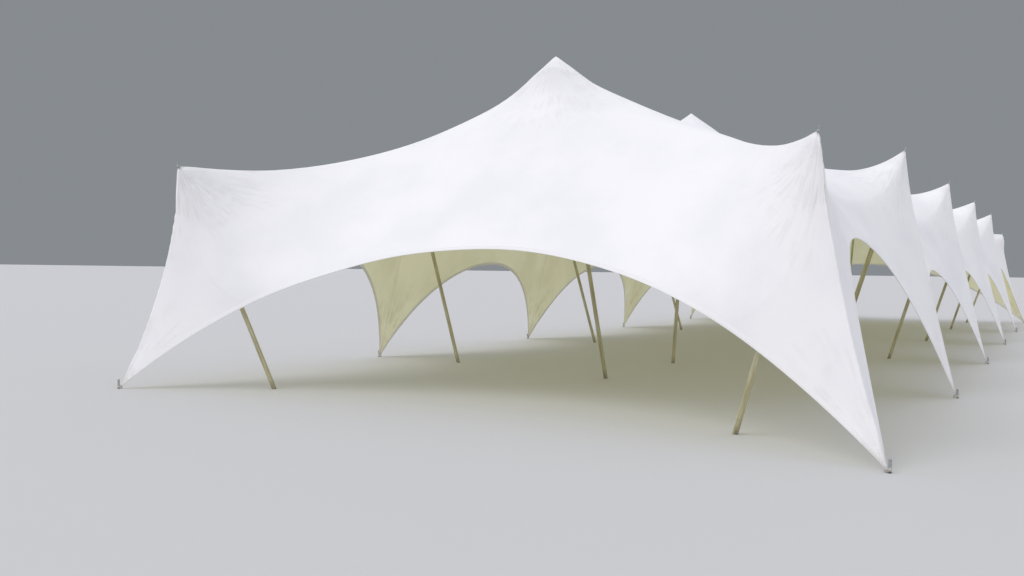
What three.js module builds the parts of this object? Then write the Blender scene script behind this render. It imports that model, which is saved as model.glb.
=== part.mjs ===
import * as THREE from 'three';

// Stretch tent with a long peaked canopy of five bays, in millimetres.
// The long side runs along Y, the open front is at the low end of Y and Z points up.
// The canopy hangs from the tips of leaning poles and is pulled down to stakes by its legs.

// Main sizes
const BAYS = 5;
const BAY_PITCH = 5640;
const TIP_WIDTH = 9650;
const HIGH_PEAK = 4540;
const SIDE_PEAK = 3350;
const CORNER_PEAK = 2950;
const LEG_TIP_HEIGHT = 15;
const LENGTH = BAYS * BAY_PITCH;
const HALF_WIDTH = TIP_WIDTH / 2;

// How far each peak stands inside the leg tip that holds it down
const SIDE_PEAK_INSET = 710;
const CORNER_PEAK_INSET_X = 706;
const CORNER_PEAK_INSET_Y = 335;

// How far the high peaks stand from the middle of their bays, towards the tent's centre
const END_PEAK_SHIFT = 331;
const SECOND_PEAK_SHIFT = 141;

// Each high peak has a stiff patch, which keeps the cloth round it to a straight cone
const PATCH_CELL = 412;
const PATCH_SLOPE = 0.737;

// Poles
const POLE_RADIUS = 31;
const POLE_PIN_RADIUS = 9;
const POLE_SHOULDER = 240;
const POLE_SIDES = 14;
const SIDE_POLE_FOOT_INSET = 1710;
const CORNER_POLE_FOOT_INSET_X = 1660;
const CORNER_POLE_FOOT_INSET_Y = 1150;
const CORNER_POLE_HEAD_INSET = 120;
const END_POLE_FOOT_SHIFT = 1806;
const SECOND_POLE_FOOT_SHIFT = -736;
const POLE_HEAD_GAP = 0.6;
const HIGHEST_SETBACK = 400;

// Stakes
const STAKE_RADIUS = 14;
const STAKE_TOP_RADIUS = 10;
const STAKE_SHOULDER_HEIGHT = 117;
const STAKE_HEIGHT = 124;
const STAKE_SIDES = 16;
const STAKE_GAP = 0.5;

// Cloth
const CLOTH_THICKNESS = 6;
const SEAM_GAP = 1;

// The cloth is laid out as a net: leg strips round the edge and a core under the peaks
const LEG_CELLS = 4;
const HALF_BAY_CELLS = 6;
const BAY_CELLS = 2 * HALF_BAY_CELLS;
const NET_ACROSS = 2 * (LEG_CELLS + HALF_BAY_CELLS);
const NET_ALONG = 2 * LEG_CELLS + BAY_CELLS * BAYS;
const CENTRE_COLUMN = NET_ACROSS / 2;

// Pull along each kind of thread in the net, against a plain thread across the roof
const PULL = {
  roofAcross: 1.0,
  roofAlong: 7.24,
  ridge: 1.8,
  peakToPeak: 1.27,
  cornerToPeak: 4.53,
  acrossPeaks: 0.518,
  valley: 1.75,
  frontValley: 0.14,
  eave: 15.4,
  frontHem: 9.85,
  sideHem: 8.86,
  leg: 13.7,
  cornerLeg: 7.38,
  sideAcross: 3.04,
  sideAlong: 0.259,
  frontAcross: 0.0745,
  frontAlong: 0.913,
  frontFold: 1.06,
  corner: 0.699,
  cornerSide: 0.826,
};

// Settling of the net
const OVERSHOOT = 1.9;
const SETTLING_ROUNDS = 1500;

const nodeIndex = (i, j) => i * (NET_ALONG + 1) + j;
const nodeCount = (NET_ACROSS + 1) * (NET_ALONG + 1);

// Rows of the net at which legs come down: the two ends and each line between bays
function legRow(line) {
  if (line === 0) {
    return 0;
  }
  if (line === BAYS) {
    return NET_ALONG;
  }
  return LEG_CELLS + BAY_CELLS * line;
}

const peakRow = (line) => LEG_CELLS + BAY_CELLS * line;
const highPeakRow = (bay) => LEG_CELLS + BAY_CELLS * bay + HALF_BAY_CELLS;

function isLegRow(row) {
  for (let line = 0; line <= BAYS; line += 1) {
    if (legRow(line) === row) {
      return true;
    }
  }
  return false;
}

// Pull of the thread that runs across the tent from node i, j to node i + 1, j
function pullAcross(i, j) {
  const fromEnd = Math.min(j, NET_ALONG - j);
  const fromSide = Math.min(i, NET_ACROSS - 1 - i);
  const inSide = fromSide < LEG_CELLS;
  const inFront = fromEnd < LEG_CELLS;
  if (fromEnd === 0) {
    return PULL.frontHem;
  }
  if (inFront && inSide) {
    return fromEnd > fromSide ? PULL.cornerSide : PULL.corner;
  }
  if (inFront) {
    return PULL.frontAcross;
  }
  if (inSide) {
    return isLegRow(j) ? PULL.leg : PULL.sideAcross;
  }
  if (fromEnd === LEG_CELLS) {
    return PULL.frontValley;
  }
  if ((j - LEG_CELLS) % BAY_CELLS === 0) {
    return PULL.valley;
  }
  if ((j - LEG_CELLS) % HALF_BAY_CELLS === 0) {
    return PULL.acrossPeaks;
  }
  return PULL.roofAcross;
}

// Pull of the thread that runs along the tent from node i, j to node i, j + 1
function pullAlong(i, j) {
  const fromSide = Math.min(i, NET_ACROSS - i);
  const fromEnd = Math.min(j, NET_ALONG - 1 - j);
  const inSide = fromSide < LEG_CELLS;
  const inFront = fromEnd < LEG_CELLS;
  if (fromSide === 0) {
    return PULL.sideHem;
  }
  if (inFront && inSide) {
    return PULL.corner;
  }
  if (inFront) {
    return fromSide === LEG_CELLS ? PULL.frontFold : PULL.frontAlong;
  }
  if (inSide) {
    return PULL.sideAlong;
  }
  if (fromSide === LEG_CELLS) {
    return PULL.eave;
  }
  if (i === CENTRE_COLUMN) {
    return PULL.ridge;
  }
  return PULL.roofAlong;
}

// Threads of the net, each one tied to the nodes at both its ends
function makeThreads() {
  const ties = Array.from({ length: nodeCount }, () => []);
  const tie = (a, b, pull) => {
    ties[a].push([b, pull]);
    ties[b].push([a, pull]);
  };
  for (let i = 0; i <= NET_ACROSS; i += 1) {
    for (let j = 0; j <= NET_ALONG; j += 1) {
      if (i < NET_ACROSS) {
        tie(nodeIndex(i, j), nodeIndex(i + 1, j), pullAcross(i, j));
      }
      if (j < NET_ALONG) {
        tie(nodeIndex(i, j), nodeIndex(i, j + 1), pullAlong(i, j));
      }
    }
  }
  // Corner legs run diagonally across the corner squares
  for (const [iStart, iStep] of [[0, 1], [NET_ACROSS, -1]]) {
    for (const [jStart, jStep] of [[0, 1], [NET_ALONG, -1]]) {
      for (let k = 0; k < LEG_CELLS; k += 1) {
        const lower = nodeIndex(iStart + iStep * k, jStart + jStep * k);
        const upper = nodeIndex(iStart + iStep * (k + 1), jStart + jStep * (k + 1));
        tie(lower, upper, PULL.cornerLeg);
      }
    }
  }
  // Lines of the cloth from each high peak to the four perimeter peaks round it
  for (let bay = 0; bay < BAYS; bay += 1) {
    for (const iStep of [1, -1]) {
      for (const jStep of [1, -1]) {
        const toCorner = (bay === 0 && jStep < 0) || (bay === BAYS - 1 && jStep > 0);
        const pull = toCorner ? PULL.cornerToPeak : PULL.peakToPeak;
        for (let k = 0; k < HALF_BAY_CELLS; k += 1) {
          const from = nodeIndex(CENTRE_COLUMN + iStep * k, highPeakRow(bay) + jStep * k);
          const to = nodeIndex(CENTRE_COLUMN + iStep * (k + 1), highPeakRow(bay) + jStep * (k + 1));
          tie(from, to, pull);
        }
      }
    }
  }
  return ties;
}

// Held points of the canopy
const yOfLine = (line) => line * BAY_PITCH - LENGTH / 2;

function perimeterPeak(side, line) {
  const cornerX = side * (HALF_WIDTH - CORNER_PEAK_INSET_X);
  if (line === 0) {
    return new THREE.Vector3(cornerX, yOfLine(line) + CORNER_PEAK_INSET_Y, CORNER_PEAK);
  }
  if (line === BAYS) {
    return new THREE.Vector3(cornerX, yOfLine(line) - CORNER_PEAK_INSET_Y, CORNER_PEAK);
  }
  return new THREE.Vector3(side * (HALF_WIDTH - SIDE_PEAK_INSET), yOfLine(line), SIDE_PEAK);
}

const legTip = (side, line) => new THREE.Vector3(side * HALF_WIDTH, yOfLine(line), LEG_TIP_HEIGHT);

// Shift towards the tent's centre, the same from both ends
function mirrored(bay, endShift, secondShift) {
  const shifts = [endShift, secondShift, 0, -secondShift, -endShift];
  return shifts[bay];
}

function highPeak(bay) {
  const y = yOfLine(bay) + BAY_PITCH / 2 + mirrored(bay, END_PEAK_SHIFT, SECOND_PEAK_SHIFT);
  return new THREE.Vector3(0, y, HIGH_PEAK);
}

// Nodes round a high peak, held on the cone of its stiff patch
function holdPatch(held, bay) {
  const peak = highPeak(bay);
  for (const across of [-1, 0, 1]) {
    for (const along of [-1, 0, 1]) {
      const reach = PATCH_CELL * Math.hypot(across, along);
      const place = new THREE.Vector3(
        peak.x - across * PATCH_CELL,
        peak.y + along * PATCH_CELL,
        peak.z - PATCH_SLOPE * reach,
      );
      held.set(nodeIndex(CENTRE_COLUMN + across, highPeakRow(bay) + along), place);
    }
  }
}

function heldNodes() {
  const held = new Map();
  for (let line = 0; line <= BAYS; line += 1) {
    held.set(nodeIndex(0, legRow(line)), legTip(1, line));
    held.set(nodeIndex(NET_ACROSS, legRow(line)), legTip(-1, line));
    held.set(nodeIndex(LEG_CELLS, peakRow(line)), perimeterPeak(1, line));
    held.set(nodeIndex(NET_ACROSS - LEG_CELLS, peakRow(line)), perimeterPeak(-1, line));
  }
  for (let bay = 0; bay < BAYS; bay += 1) {
    holdPatch(held, bay);
  }
  return held;
}

// The net settles until every free node is where its threads balance
function settleNet() {
  const ties = makeThreads();
  const held = heldNodes();
  const net = [];
  for (let i = 0; i <= NET_ACROSS; i += 1) {
    for (let j = 0; j <= NET_ALONG; j += 1) {
      const x = HALF_WIDTH * (1 - i / CENTRE_COLUMN);
      const y = LENGTH * (j / NET_ALONG - 0.5);
      net.push(held.get(nodeIndex(i, j)) ?? new THREE.Vector3(x, y, SIDE_PEAK));
    }
  }
  for (let round = 0; round < SETTLING_ROUNDS; round += 1) {
    for (let n = 0; n < nodeCount; n += 1) {
      if (held.has(n)) {
        continue;
      }
      let sum = 0;
      let x = 0;
      let y = 0;
      let z = 0;
      for (const [m, pull] of ties[n]) {
        sum += pull;
        x += pull * net[m].x;
        y += pull * net[m].y;
        z += pull * net[m].z;
      }
      net[n].x += OVERSHOOT * (x / sum - net[n].x);
      net[n].y += OVERSHOOT * (y / sum - net[n].y);
      net[n].z += OVERSHOOT * (z / sum - net[n].z);
    }
  }
  return net;
}

// Outward direction at each node, from the cells round it
function netNormals(net) {
  const normals = net.map(() => new THREE.Vector3());
  for (let i = 0; i < NET_ACROSS; i += 1) {
    for (let j = 0; j < NET_ALONG; j += 1) {
      const a = net[nodeIndex(i, j)];
      const b = net[nodeIndex(i + 1, j)];
      const c = net[nodeIndex(i + 1, j + 1)];
      const d = net[nodeIndex(i, j + 1)];
      const acrossDiagonal = new THREE.Vector3().subVectors(c, a);
      const alongDiagonal = new THREE.Vector3().subVectors(d, b);
      const normal = new THREE.Vector3().crossVectors(alongDiagonal, acrossDiagonal);
      for (const [p, q] of [[i, j], [i + 1, j], [i + 1, j + 1], [i, j + 1]]) {
        normals[nodeIndex(p, q)].add(normal);
      }
    }
  }
  return normals.map((normal) => normal.normalize());
}

// Cells are split so that their diagonals run from the leg tips to the high peaks
function diagonalRises(i, j) {
  const bay = Math.min(BAYS - 1, Math.max(0, Math.floor((j - LEG_CELLS) / BAY_CELLS)));
  const inNearHalf = j < highPeakRow(bay);
  const inRightHalf = i < CENTRE_COLUMN;
  return inNearHalf === inRightHalf;
}

function bayRows(bay) {
  return [legRow(bay), legRow(bay + 1)];
}

// Cloth stops half a seam gap short of the line where two bays meet
function drawBack(point, inside) {
  const away = new THREE.Vector3().subVectors(inside, point).normalize();
  point.addScaledVector(away, SEAM_GAP / 2);
}

// One bay of the canopy as a thin closed shell
function canopyBay(net, normals, bay) {
  const [firstRow, lastRow] = bayRows(bay);
  const rows = lastRow - firstRow + 1;
  const positions = [];
  const vertex = (i, j, layer) => (i * rows + (j - firstRow)) * 2 + layer;
  for (let i = 0; i <= NET_ACROSS; i += 1) {
    for (let j = firstRow; j <= lastRow; j += 1) {
      const point = net[nodeIndex(i, j)].clone();
      if (j === firstRow && bay > 0) {
        drawBack(point, net[nodeIndex(i, j + 1)]);
      }
      if (j === lastRow && bay < BAYS - 1) {
        drawBack(point, net[nodeIndex(i, j - 1)]);
      }
      const normal = normals[nodeIndex(i, j)];
      for (const level of [0.5, -0.5]) {
        const place = point.clone().addScaledVector(normal, level * CLOTH_THICKNESS);
        positions.push(place.x, place.y, place.z);
      }
    }
  }
  const faces = [];
  const outer = 0;
  const inner = 1;
  for (let i = 0; i < NET_ACROSS; i += 1) {
    for (let j = firstRow; j < lastRow; j += 1) {
      const corners = [[i, j], [i, j + 1], [i + 1, j + 1], [i + 1, j]];
      if (!diagonalRises(i, j)) {
        corners.push(corners.shift());
      }
      const [a, b, c, d] = corners.map(([p, q]) => vertex(p, q, outer));
      faces.push(a, b, c, a, c, d);
      const [e, f, g, h] = corners.map(([p, q]) => vertex(p, q, inner));
      faces.push(e, g, f, e, h, g);
    }
  }
  const edge = [];
  for (let i = 0; i < NET_ACROSS; i += 1) {
    edge.push([[i + 1, firstRow], [i, firstRow]]);
    edge.push([[i, lastRow], [i + 1, lastRow]]);
  }
  for (let j = firstRow; j < lastRow; j += 1) {
    edge.push([[0, j], [0, j + 1]]);
    edge.push([[NET_ACROSS, j + 1], [NET_ACROSS, j]]);
  }
  for (const [[p, q], [r, s]] of edge) {
    const a = vertex(p, q, outer);
    const b = vertex(p, q, inner);
    const c = vertex(r, s, inner);
    const d = vertex(r, s, outer);
    faces.push(a, b, c, a, c, d);
  }
  const shell = new THREE.BufferGeometry();
  shell.setAttribute('position', new THREE.Float32BufferAttribute(positions, 3));
  shell.setIndex(faces);
  shell.computeVertexNormals();
  return shell;
}

// Points on a circle round an axis, at a distance along it
function ringPoints(foot, axis, distance, radius, sides) {
  const up = axis.clone().normalize();
  const sideways = new THREE.Vector3(0, 1, 0).cross(up).normalize();
  const forwards = new THREE.Vector3().crossVectors(up, sideways);
  const points = [];
  for (let k = 0; k < sides; k += 1) {
    const angle = (2 * Math.PI * k) / sides;
    const point = foot.clone().addScaledVector(up, distance);
    point.addScaledVector(sideways, radius * Math.cos(angle));
    point.addScaledVector(forwards, radius * Math.sin(angle));
    points.push(point);
  }
  return points;
}

// A round piece along an axis, given as distance and radius pairs, its foot cut level with the floor
function turned(foot, axis, profile, sides) {
  const up = axis.clone().normalize();
  const positions = [];
  profile.forEach(([distance, radius], ring) => {
    for (const point of ringPoints(foot, axis, distance, radius, sides)) {
      if (ring === 0) {
        point.addScaledVector(up, -point.z / up.z);
        point.z = 0;
      }
      positions.push(point.x, point.y, point.z);
    }
  });
  const footCentre = positions.length / 3;
  positions.push(foot.x, foot.y, 0);
  const head = foot.clone().addScaledVector(up, profile[profile.length - 1][0]);
  positions.push(head.x, head.y, head.z);
  const faces = [];
  for (let k = 0; k < sides; k += 1) {
    const next = (k + 1) % sides;
    faces.push(footCentre, next, k);
    for (let ring = 0; ring < profile.length - 1; ring += 1) {
      const low = ring * sides;
      const high = low + sides;
      faces.push(low + k, low + next, high + next);
      faces.push(low + k, high + next, high + k);
    }
    const rim = (profile.length - 1) * sides;
    faces.push(rim + k, rim + next, footCentre + 1);
  }
  const solid = new THREE.BufferGeometry();
  solid.setAttribute('position', new THREE.Float32BufferAttribute(positions, 3));
  solid.setIndex(faces);
  solid.computeVertexNormals();
  return solid;
}

// Distance and radius pairs of a pole whose pin ends at the given reach
function poleProfile(reach) {
  return [
    [0, POLE_RADIUS],
    [reach - POLE_SHOULDER, POLE_RADIUS],
    [reach, POLE_PIN_RADIUS],
  ];
}

// Inner faces of the cloth in the cells round a net node
function clothRound(net, normals, iMiddle, jMiddle) {
  const inner = (i, j) => {
    const n = nodeIndex(i, j);
    return net[n].clone().addScaledVector(normals[n], -CLOTH_THICKNESS / 2);
  };
  const faces = [];
  for (let i = iMiddle - 2; i < iMiddle + 2; i += 1) {
    for (let j = jMiddle - 2; j < jMiddle + 2; j += 1) {
      const corners = [inner(i, j), inner(i, j + 1), inner(i + 1, j + 1), inner(i + 1, j)];
      if (!diagonalRises(i, j)) {
        corners.push(corners.shift());
      }
      const [a, b, c, d] = corners;
      faces.push(new THREE.Triangle(a, b, c), new THREE.Triangle(a, c, d));
    }
  }
  return faces;
}

// Distance from a point to the nearest face, less than zero on the outer side of the cloth
function depthUnder(point, faces) {
  const nearest = new THREE.Vector3();
  const normal = new THREE.Vector3();
  let distance = Infinity;
  let side = 0;
  for (const face of faces) {
    face.closestPointToPoint(point, nearest);
    face.getNormal(normal);
    const offset = nearest.distanceTo(point);
    const below = normal.dot(nearest.sub(point));
    if (offset < distance - 0.001) {
      distance = offset;
      side = below;
    } else if (offset < distance + 0.001) {
      side += below;
    }
  }
  return side > 0 ? distance : -distance;
}

// Shortest way from the upper part of a pole to the cloth
function headClearance(foot, axis, reach, faces) {
  const [, shoulder, pin] = poleProfile(reach);
  const steps = 16;
  let clearance = Infinity;
  for (let step = 0; step <= steps; step += 1) {
    const distance = shoulder[0] + ((pin[0] - shoulder[0]) * step) / steps;
    const radius = shoulder[1] + ((pin[1] - shoulder[1]) * step) / steps;
    for (const point of ringPoints(foot, axis, distance, radius, POLE_SIDES)) {
      clearance = Math.min(clearance, depthUnder(point, faces));
    }
  }
  return clearance;
}

// A pole from the floor to the underside of a peak, tapered to a blunt pin at its head.
// It is lengthened until its head all but touches the cloth.
function pole(foot, peak, faces) {
  const axis = peak.clone().sub(foot);
  const length = axis.length();
  let tooLong = length;
  let shortEnough = length - HIGHEST_SETBACK;
  while (tooLong - shortEnough > 0.01) {
    const reach = (tooLong + shortEnough) / 2;
    if (headClearance(foot, axis, reach, faces) < POLE_HEAD_GAP) {
      tooLong = reach;
    } else {
      shortEnough = reach;
    }
  }
  return turned(foot, axis, poleProfile(shortEnough), POLE_SIDES);
}

// A round steel stake with a rounded top, standing just outside a leg tip
function stake(side, line, clothNormal) {
  const foot = legTip(side, line);
  const outward = foot.clone().sub(perimeterPeak(side, line)).setZ(0).normalize();
  const clothReach = Math.abs(outward.dot(clothNormal)) * (CLOTH_THICKNESS / 2);
  foot.addScaledVector(outward, clothReach + STAKE_GAP + STAKE_RADIUS);
  foot.z = 0;
  const profile = [
    [0, STAKE_RADIUS],
    [STAKE_SHOULDER_HEIGHT, STAKE_RADIUS],
    [STAKE_HEIGHT, STAKE_TOP_RADIUS],
  ];
  return turned(foot, new THREE.Vector3(0, 0, 1), profile, STAKE_SIDES);
}

// Which way along the tent leads inwards from a line of legs, zero between the ends
function inwards(line) {
  if (line === 0) {
    return 1;
  }
  return line === BAYS ? -1 : 0;
}

function perimeterPoleFoot(side, line) {
  const inset = inwards(line) === 0 ? SIDE_POLE_FOOT_INSET : CORNER_POLE_FOOT_INSET_X;
  const y = yOfLine(line) + inwards(line) * CORNER_POLE_FOOT_INSET_Y;
  return new THREE.Vector3(side * (HALF_WIDTH - inset), y, 0);
}

// A corner pole points just behind its peak, so that it stands clear of the front of the cloth
function perimeterPoleHead(side, line) {
  const head = perimeterPeak(side, line);
  head.y += inwards(line) * CORNER_POLE_HEAD_INSET;
  return head;
}

function centrePoleFoot(bay) {
  const foot = highPeak(bay);
  foot.y += mirrored(bay, END_POLE_FOOT_SHIFT, SECOND_POLE_FOOT_SHIFT);
  foot.z = 0;
  return foot;
}

// Materials
const cloth = () => new THREE.MeshStandardMaterial({ color: '#f3f2ee', roughness: 0.85, metalness: 0 });
const timber = () => new THREE.MeshStandardMaterial({ color: '#a8a07c', roughness: 0.6, metalness: 0 });
const steel = () => new THREE.MeshStandardMaterial({ color: '#8d9194', roughness: 0.45, metalness: 1 });

const group = new THREE.Group();
group.name = 'stretch_tent';

function add(name, geometry, material) {
  const mesh = new THREE.Mesh(geometry, material);
  mesh.name = name;
  group.add(mesh);
}

const net = settleNet();
const normals = netNormals(net);

for (let bay = 0; bay < BAYS; bay += 1) {
  add(`canopy_bay_${bay + 1}`, canopyBay(net, normals, bay), cloth());
}

for (let bay = 0; bay < BAYS; bay += 1) {
  const faces = clothRound(net, normals, CENTRE_COLUMN, highPeakRow(bay));
  add(`centre_pole_${bay + 1}`, pole(centrePoleFoot(bay), highPeak(bay), faces), timber());
}

for (const [sideName, side] of [['right', 1], ['left', -1]]) {
  const peakColumn = side > 0 ? LEG_CELLS : NET_ACROSS - LEG_CELLS;
  const hemColumn = side > 0 ? 0 : NET_ACROSS;
  for (let line = 0; line <= BAYS; line += 1) {
    const faces = clothRound(net, normals, peakColumn, peakRow(line));
    const foot = perimeterPoleFoot(side, line);
    const tipNormal = normals[nodeIndex(hemColumn, legRow(line))];
    add(`${sideName}_pole_${line + 1}`, pole(foot, perimeterPoleHead(side, line), faces), timber());
    add(`${sideName}_stake_${line + 1}`, stake(side, line, tipNormal), steel());
  }
}

export default group;
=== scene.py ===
# %% [markdown]
# # A stretch tent in Blender
# This lesson dresses a ready solid model of a long stretch tent: one tensioned canopy on seventeen
# poles, pulled down to twelve stakes. The solids give the places and the sizes. Here the plain
# canopy, poles and stakes get their real surface: cloth with creases, hems and seams, timber with
# grain, and worn steel. The imported model is loaded first, so that every later piece can be set
# against it.

# %% Load the solid model
import math

import bpy
import numpy as np
from mathutils import Matrix, Vector


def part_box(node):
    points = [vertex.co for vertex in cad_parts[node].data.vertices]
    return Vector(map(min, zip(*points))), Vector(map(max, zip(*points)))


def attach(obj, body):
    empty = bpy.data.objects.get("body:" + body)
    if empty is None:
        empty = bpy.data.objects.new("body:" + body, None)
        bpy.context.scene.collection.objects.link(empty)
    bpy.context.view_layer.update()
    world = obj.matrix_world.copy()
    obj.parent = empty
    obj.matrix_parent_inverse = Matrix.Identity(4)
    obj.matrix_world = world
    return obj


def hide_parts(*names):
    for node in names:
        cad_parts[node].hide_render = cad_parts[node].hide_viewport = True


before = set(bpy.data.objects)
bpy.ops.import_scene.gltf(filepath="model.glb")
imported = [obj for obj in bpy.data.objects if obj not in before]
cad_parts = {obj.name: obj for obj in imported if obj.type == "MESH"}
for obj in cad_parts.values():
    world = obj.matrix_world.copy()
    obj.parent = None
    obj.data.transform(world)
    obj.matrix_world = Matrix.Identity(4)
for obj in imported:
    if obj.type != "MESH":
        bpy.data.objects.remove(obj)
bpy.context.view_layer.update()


def rounded(values, digits=3):
    return [round(float(value), digits) for value in values]


# %% [markdown]
# ## The camera
# The photographer stood a little to the right of the tent's front right corner, at eye height.
# A camera can be aimed with a Track To constraint, but here it is turned by its own three axes,
# because the picture also leans by under a degree. The lens comes from the angle of view, so it
# doesn't depend on the size of the picture.

# %% Camera
EYE = Vector((6.114, -22.79, 1.702))
LOOK_TURN = math.radians(29.69)
LOOK_DOWN = math.radians(1.32)
LEAN = math.radians(0.74)
FOCAL_SHARE = 977.7 / 1024
SENSOR_WIDTH, VIEW_END = 36, 300

level_ahead = Vector((-math.sin(LOOK_TURN), math.cos(LOOK_TURN), 0))
level_right = Vector((math.cos(LOOK_TURN), math.sin(LOOK_TURN), 0))
ahead = level_ahead * math.cos(LOOK_DOWN) - Vector((0, 0, 1)) * math.sin(LOOK_DOWN)
up = level_right.cross(ahead)
camera_x = level_right * math.cos(LEAN) + up * math.sin(LEAN)
camera_y = up * math.cos(LEAN) - level_right * math.sin(LEAN)

camera_data = bpy.data.cameras.new("camera")
camera_data.sensor_width = SENSOR_WIDTH
camera_data.lens = SENSOR_WIDTH * FOCAL_SHARE
camera_data.clip_end = VIEW_END
camera = bpy.data.objects.new("camera", camera_data)
turn = Matrix((camera_x, camera_y, -ahead)).transposed()
camera.matrix_world = Matrix.Translation(EYE) @ turn.to_4x4()
bpy.context.scene.collection.objects.link(camera)
bpy.context.scene.camera = camera
print("camera at", tuple(EYE), "lens", round(camera_data.lens, 2), "mm")

# %% [markdown]
# ## Sizes of the canopy
# The canopy is worked out from the same few sizes as the solids: five bays, the places of the leg
# tips and the heights of the peaks. The sizes are in metres here, because Blender works in metres.

# %% Sizes
BAYS = 5
BAY_PITCH = 5.64
LENGTH = BAYS * BAY_PITCH
HALF_WIDTH = 9.65 / 2
HIGH_PEAK, SIDE_PEAK, CORNER_PEAK, LEG_TIP = 4.54, 3.35, 2.95, 0.015
SIDE_PEAK_INSET = 0.71
CORNER_INSET_X, CORNER_INSET_Y = 0.706, 0.335
HIGH_PEAK_SHIFTS = (0.331, 0.141, 0, -0.141, -0.331)
PATCH_CELL, PATCH_SLOPE = 0.412, 0.737

LEG_CELLS, HALF_BAY = 4, 6
BAY_CELLS = 2 * HALF_BAY
ACROSS = 2 * (LEG_CELLS + HALF_BAY)
ALONG = 2 * LEG_CELLS + BAY_CELLS * BAYS
MIDDLE = ACROSS // 2
print("net of", ACROSS, "by", ALONG, "cells")

# %% [markdown]
# ## The net under tension
# A tensioned canopy can't be drawn freely: each small piece of it balances the pulls of its
# neighbours. It could be found with cloth simulation, but a net of threads with a fixed pull per
# length gives it exactly, by solving one set of linear equations. Some threads pull harder than
# others: hems, the line from peak to peak, and the legs.

# %% Pulls of the threads
PULL = {
    "roof_across": 1.0, "roof_along": 7.24, "ridge": 1.8, "peak_to_peak": 1.27,
    "corner_to_peak": 4.53, "across_peaks": 0.518, "valley": 1.75, "front_valley": 0.14,
    "eave": 15.4, "front_hem": 9.85, "side_hem": 8.86, "leg": 13.7, "corner_leg": 7.38,
    "side_across": 3.04, "side_along": 0.259, "front_across": 0.0745, "front_along": 0.913,
    "front_fold": 1.06, "corner": 0.699, "corner_side": 0.826,
}


def leg_row(line):
    """Row of the net at which a pair of legs comes down."""
    return {0: 0, BAYS: ALONG}.get(line, LEG_CELLS + BAY_CELLS * line)


def peak_row(line):
    return LEG_CELLS + BAY_CELLS * line


def high_row(bay):
    return LEG_CELLS + BAY_CELLS * bay + HALF_BAY


LEG_ROWS = [leg_row(line) for line in range(BAYS + 1)]


def pull_across(i, j):
    from_end, from_side = min(j, ALONG - j), min(i, ACROSS - 1 - i)
    in_front, in_side = from_end < LEG_CELLS, from_side < LEG_CELLS
    if from_end == 0:
        return PULL["front_hem"]
    if in_front and in_side:
        return PULL["corner_side"] if from_end > from_side else PULL["corner"]
    if in_front:
        return PULL["front_across"]
    if in_side:
        return PULL["leg"] if j in LEG_ROWS else PULL["side_across"]
    if from_end == LEG_CELLS:
        return PULL["front_valley"]
    if (j - LEG_CELLS) % BAY_CELLS == 0:
        return PULL["valley"]
    return PULL["across_peaks"] if (j - LEG_CELLS) % HALF_BAY == 0 else PULL["roof_across"]


def pull_along(i, j):
    from_side, from_end = min(i, ACROSS - i), min(j, ALONG - 1 - j)
    in_front, in_side = from_end < LEG_CELLS, from_side < LEG_CELLS
    if from_side == 0:
        return PULL["side_hem"]
    if in_front and in_side:
        return PULL["corner"]
    if in_front:
        return PULL["front_fold"] if from_side == LEG_CELLS else PULL["front_along"]
    if in_side:
        return PULL["side_along"]
    if from_side == LEG_CELLS:
        return PULL["eave"]
    return PULL["ridge"] if i == MIDDLE else PULL["roof_along"]


def diagonal_ties():
    """Corner legs, and the lines from each high peak to the four peaks round it."""
    ties = []
    for i0, di in ((0, 1), (ACROSS, -1)):
        for j0, dj in ((0, 1), (ALONG, -1)):
            ties += [((i0 + di * k, j0 + dj * k), (i0 + di * (k + 1), j0 + dj * (k + 1)),
                      "corner_leg") for k in range(LEG_CELLS)]
    for bay in range(BAYS):
        j0 = high_row(bay)
        for di in (1, -1):
            for dj in (1, -1):
                to_corner = (bay, dj) in ((0, -1), (BAYS - 1, 1))
                kind = "corner_to_peak" if to_corner else "peak_to_peak"
                ties += [((MIDDLE + di * k, j0 + dj * k),
                          (MIDDLE + di * (k + 1), j0 + dj * (k + 1)), kind)
                         for k in range(HALF_BAY)]
    return ties


print("threads on diagonals:", len(diagonal_ties()))

# %% [markdown]
# ## Held points
# The canopy is held only at its leg tips and at the heads of the poles. Each high peak also has a
# stiff round patch, so the cloth comes down from it as a straight cone for the first half metre.
# Everything between is free.

# %% Held points
def line_y(line):
    return line * BAY_PITCH - LENGTH / 2


def leg_tip(side, line):
    return (side * HALF_WIDTH, line_y(line), LEG_TIP)


def edge_peak(side, line):
    if line in (0, BAYS):
        inward = 1 if line == 0 else -1
        return (side * (HALF_WIDTH - CORNER_INSET_X), line_y(line) + inward * CORNER_INSET_Y,
                CORNER_PEAK)
    return (side * (HALF_WIDTH - SIDE_PEAK_INSET), line_y(line), SIDE_PEAK)


def high_peak(bay):
    return (0, line_y(bay) + BAY_PITCH / 2 + HIGH_PEAK_SHIFTS[bay], HIGH_PEAK)


held = {(MIDDLE, high_row(bay)): high_peak(bay) for bay in range(BAYS)}
patches = {}
for bay in range(BAYS):
    x, y, z = high_peak(bay)
    for di in (-1, 0, 1):
        for dj in (-1, 0, 1):
            reach = PATCH_CELL * math.hypot(di, dj)
            if reach > 0:
                patches[(MIDDLE + di, high_row(bay) + dj)] = (
                    x - di * PATCH_CELL, y + dj * PATCH_CELL, z - PATCH_SLOPE * reach)
for line in range(BAYS + 1):
    held[(0, leg_row(line))] = leg_tip(1, line)
    held[(ACROSS, leg_row(line))] = leg_tip(-1, line)
    held[(LEG_CELLS, peak_row(line))] = edge_peak(1, line)
    held[(ACROSS - LEG_CELLS, peak_row(line))] = edge_peak(-1, line)
print("held points:", len(held))

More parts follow.
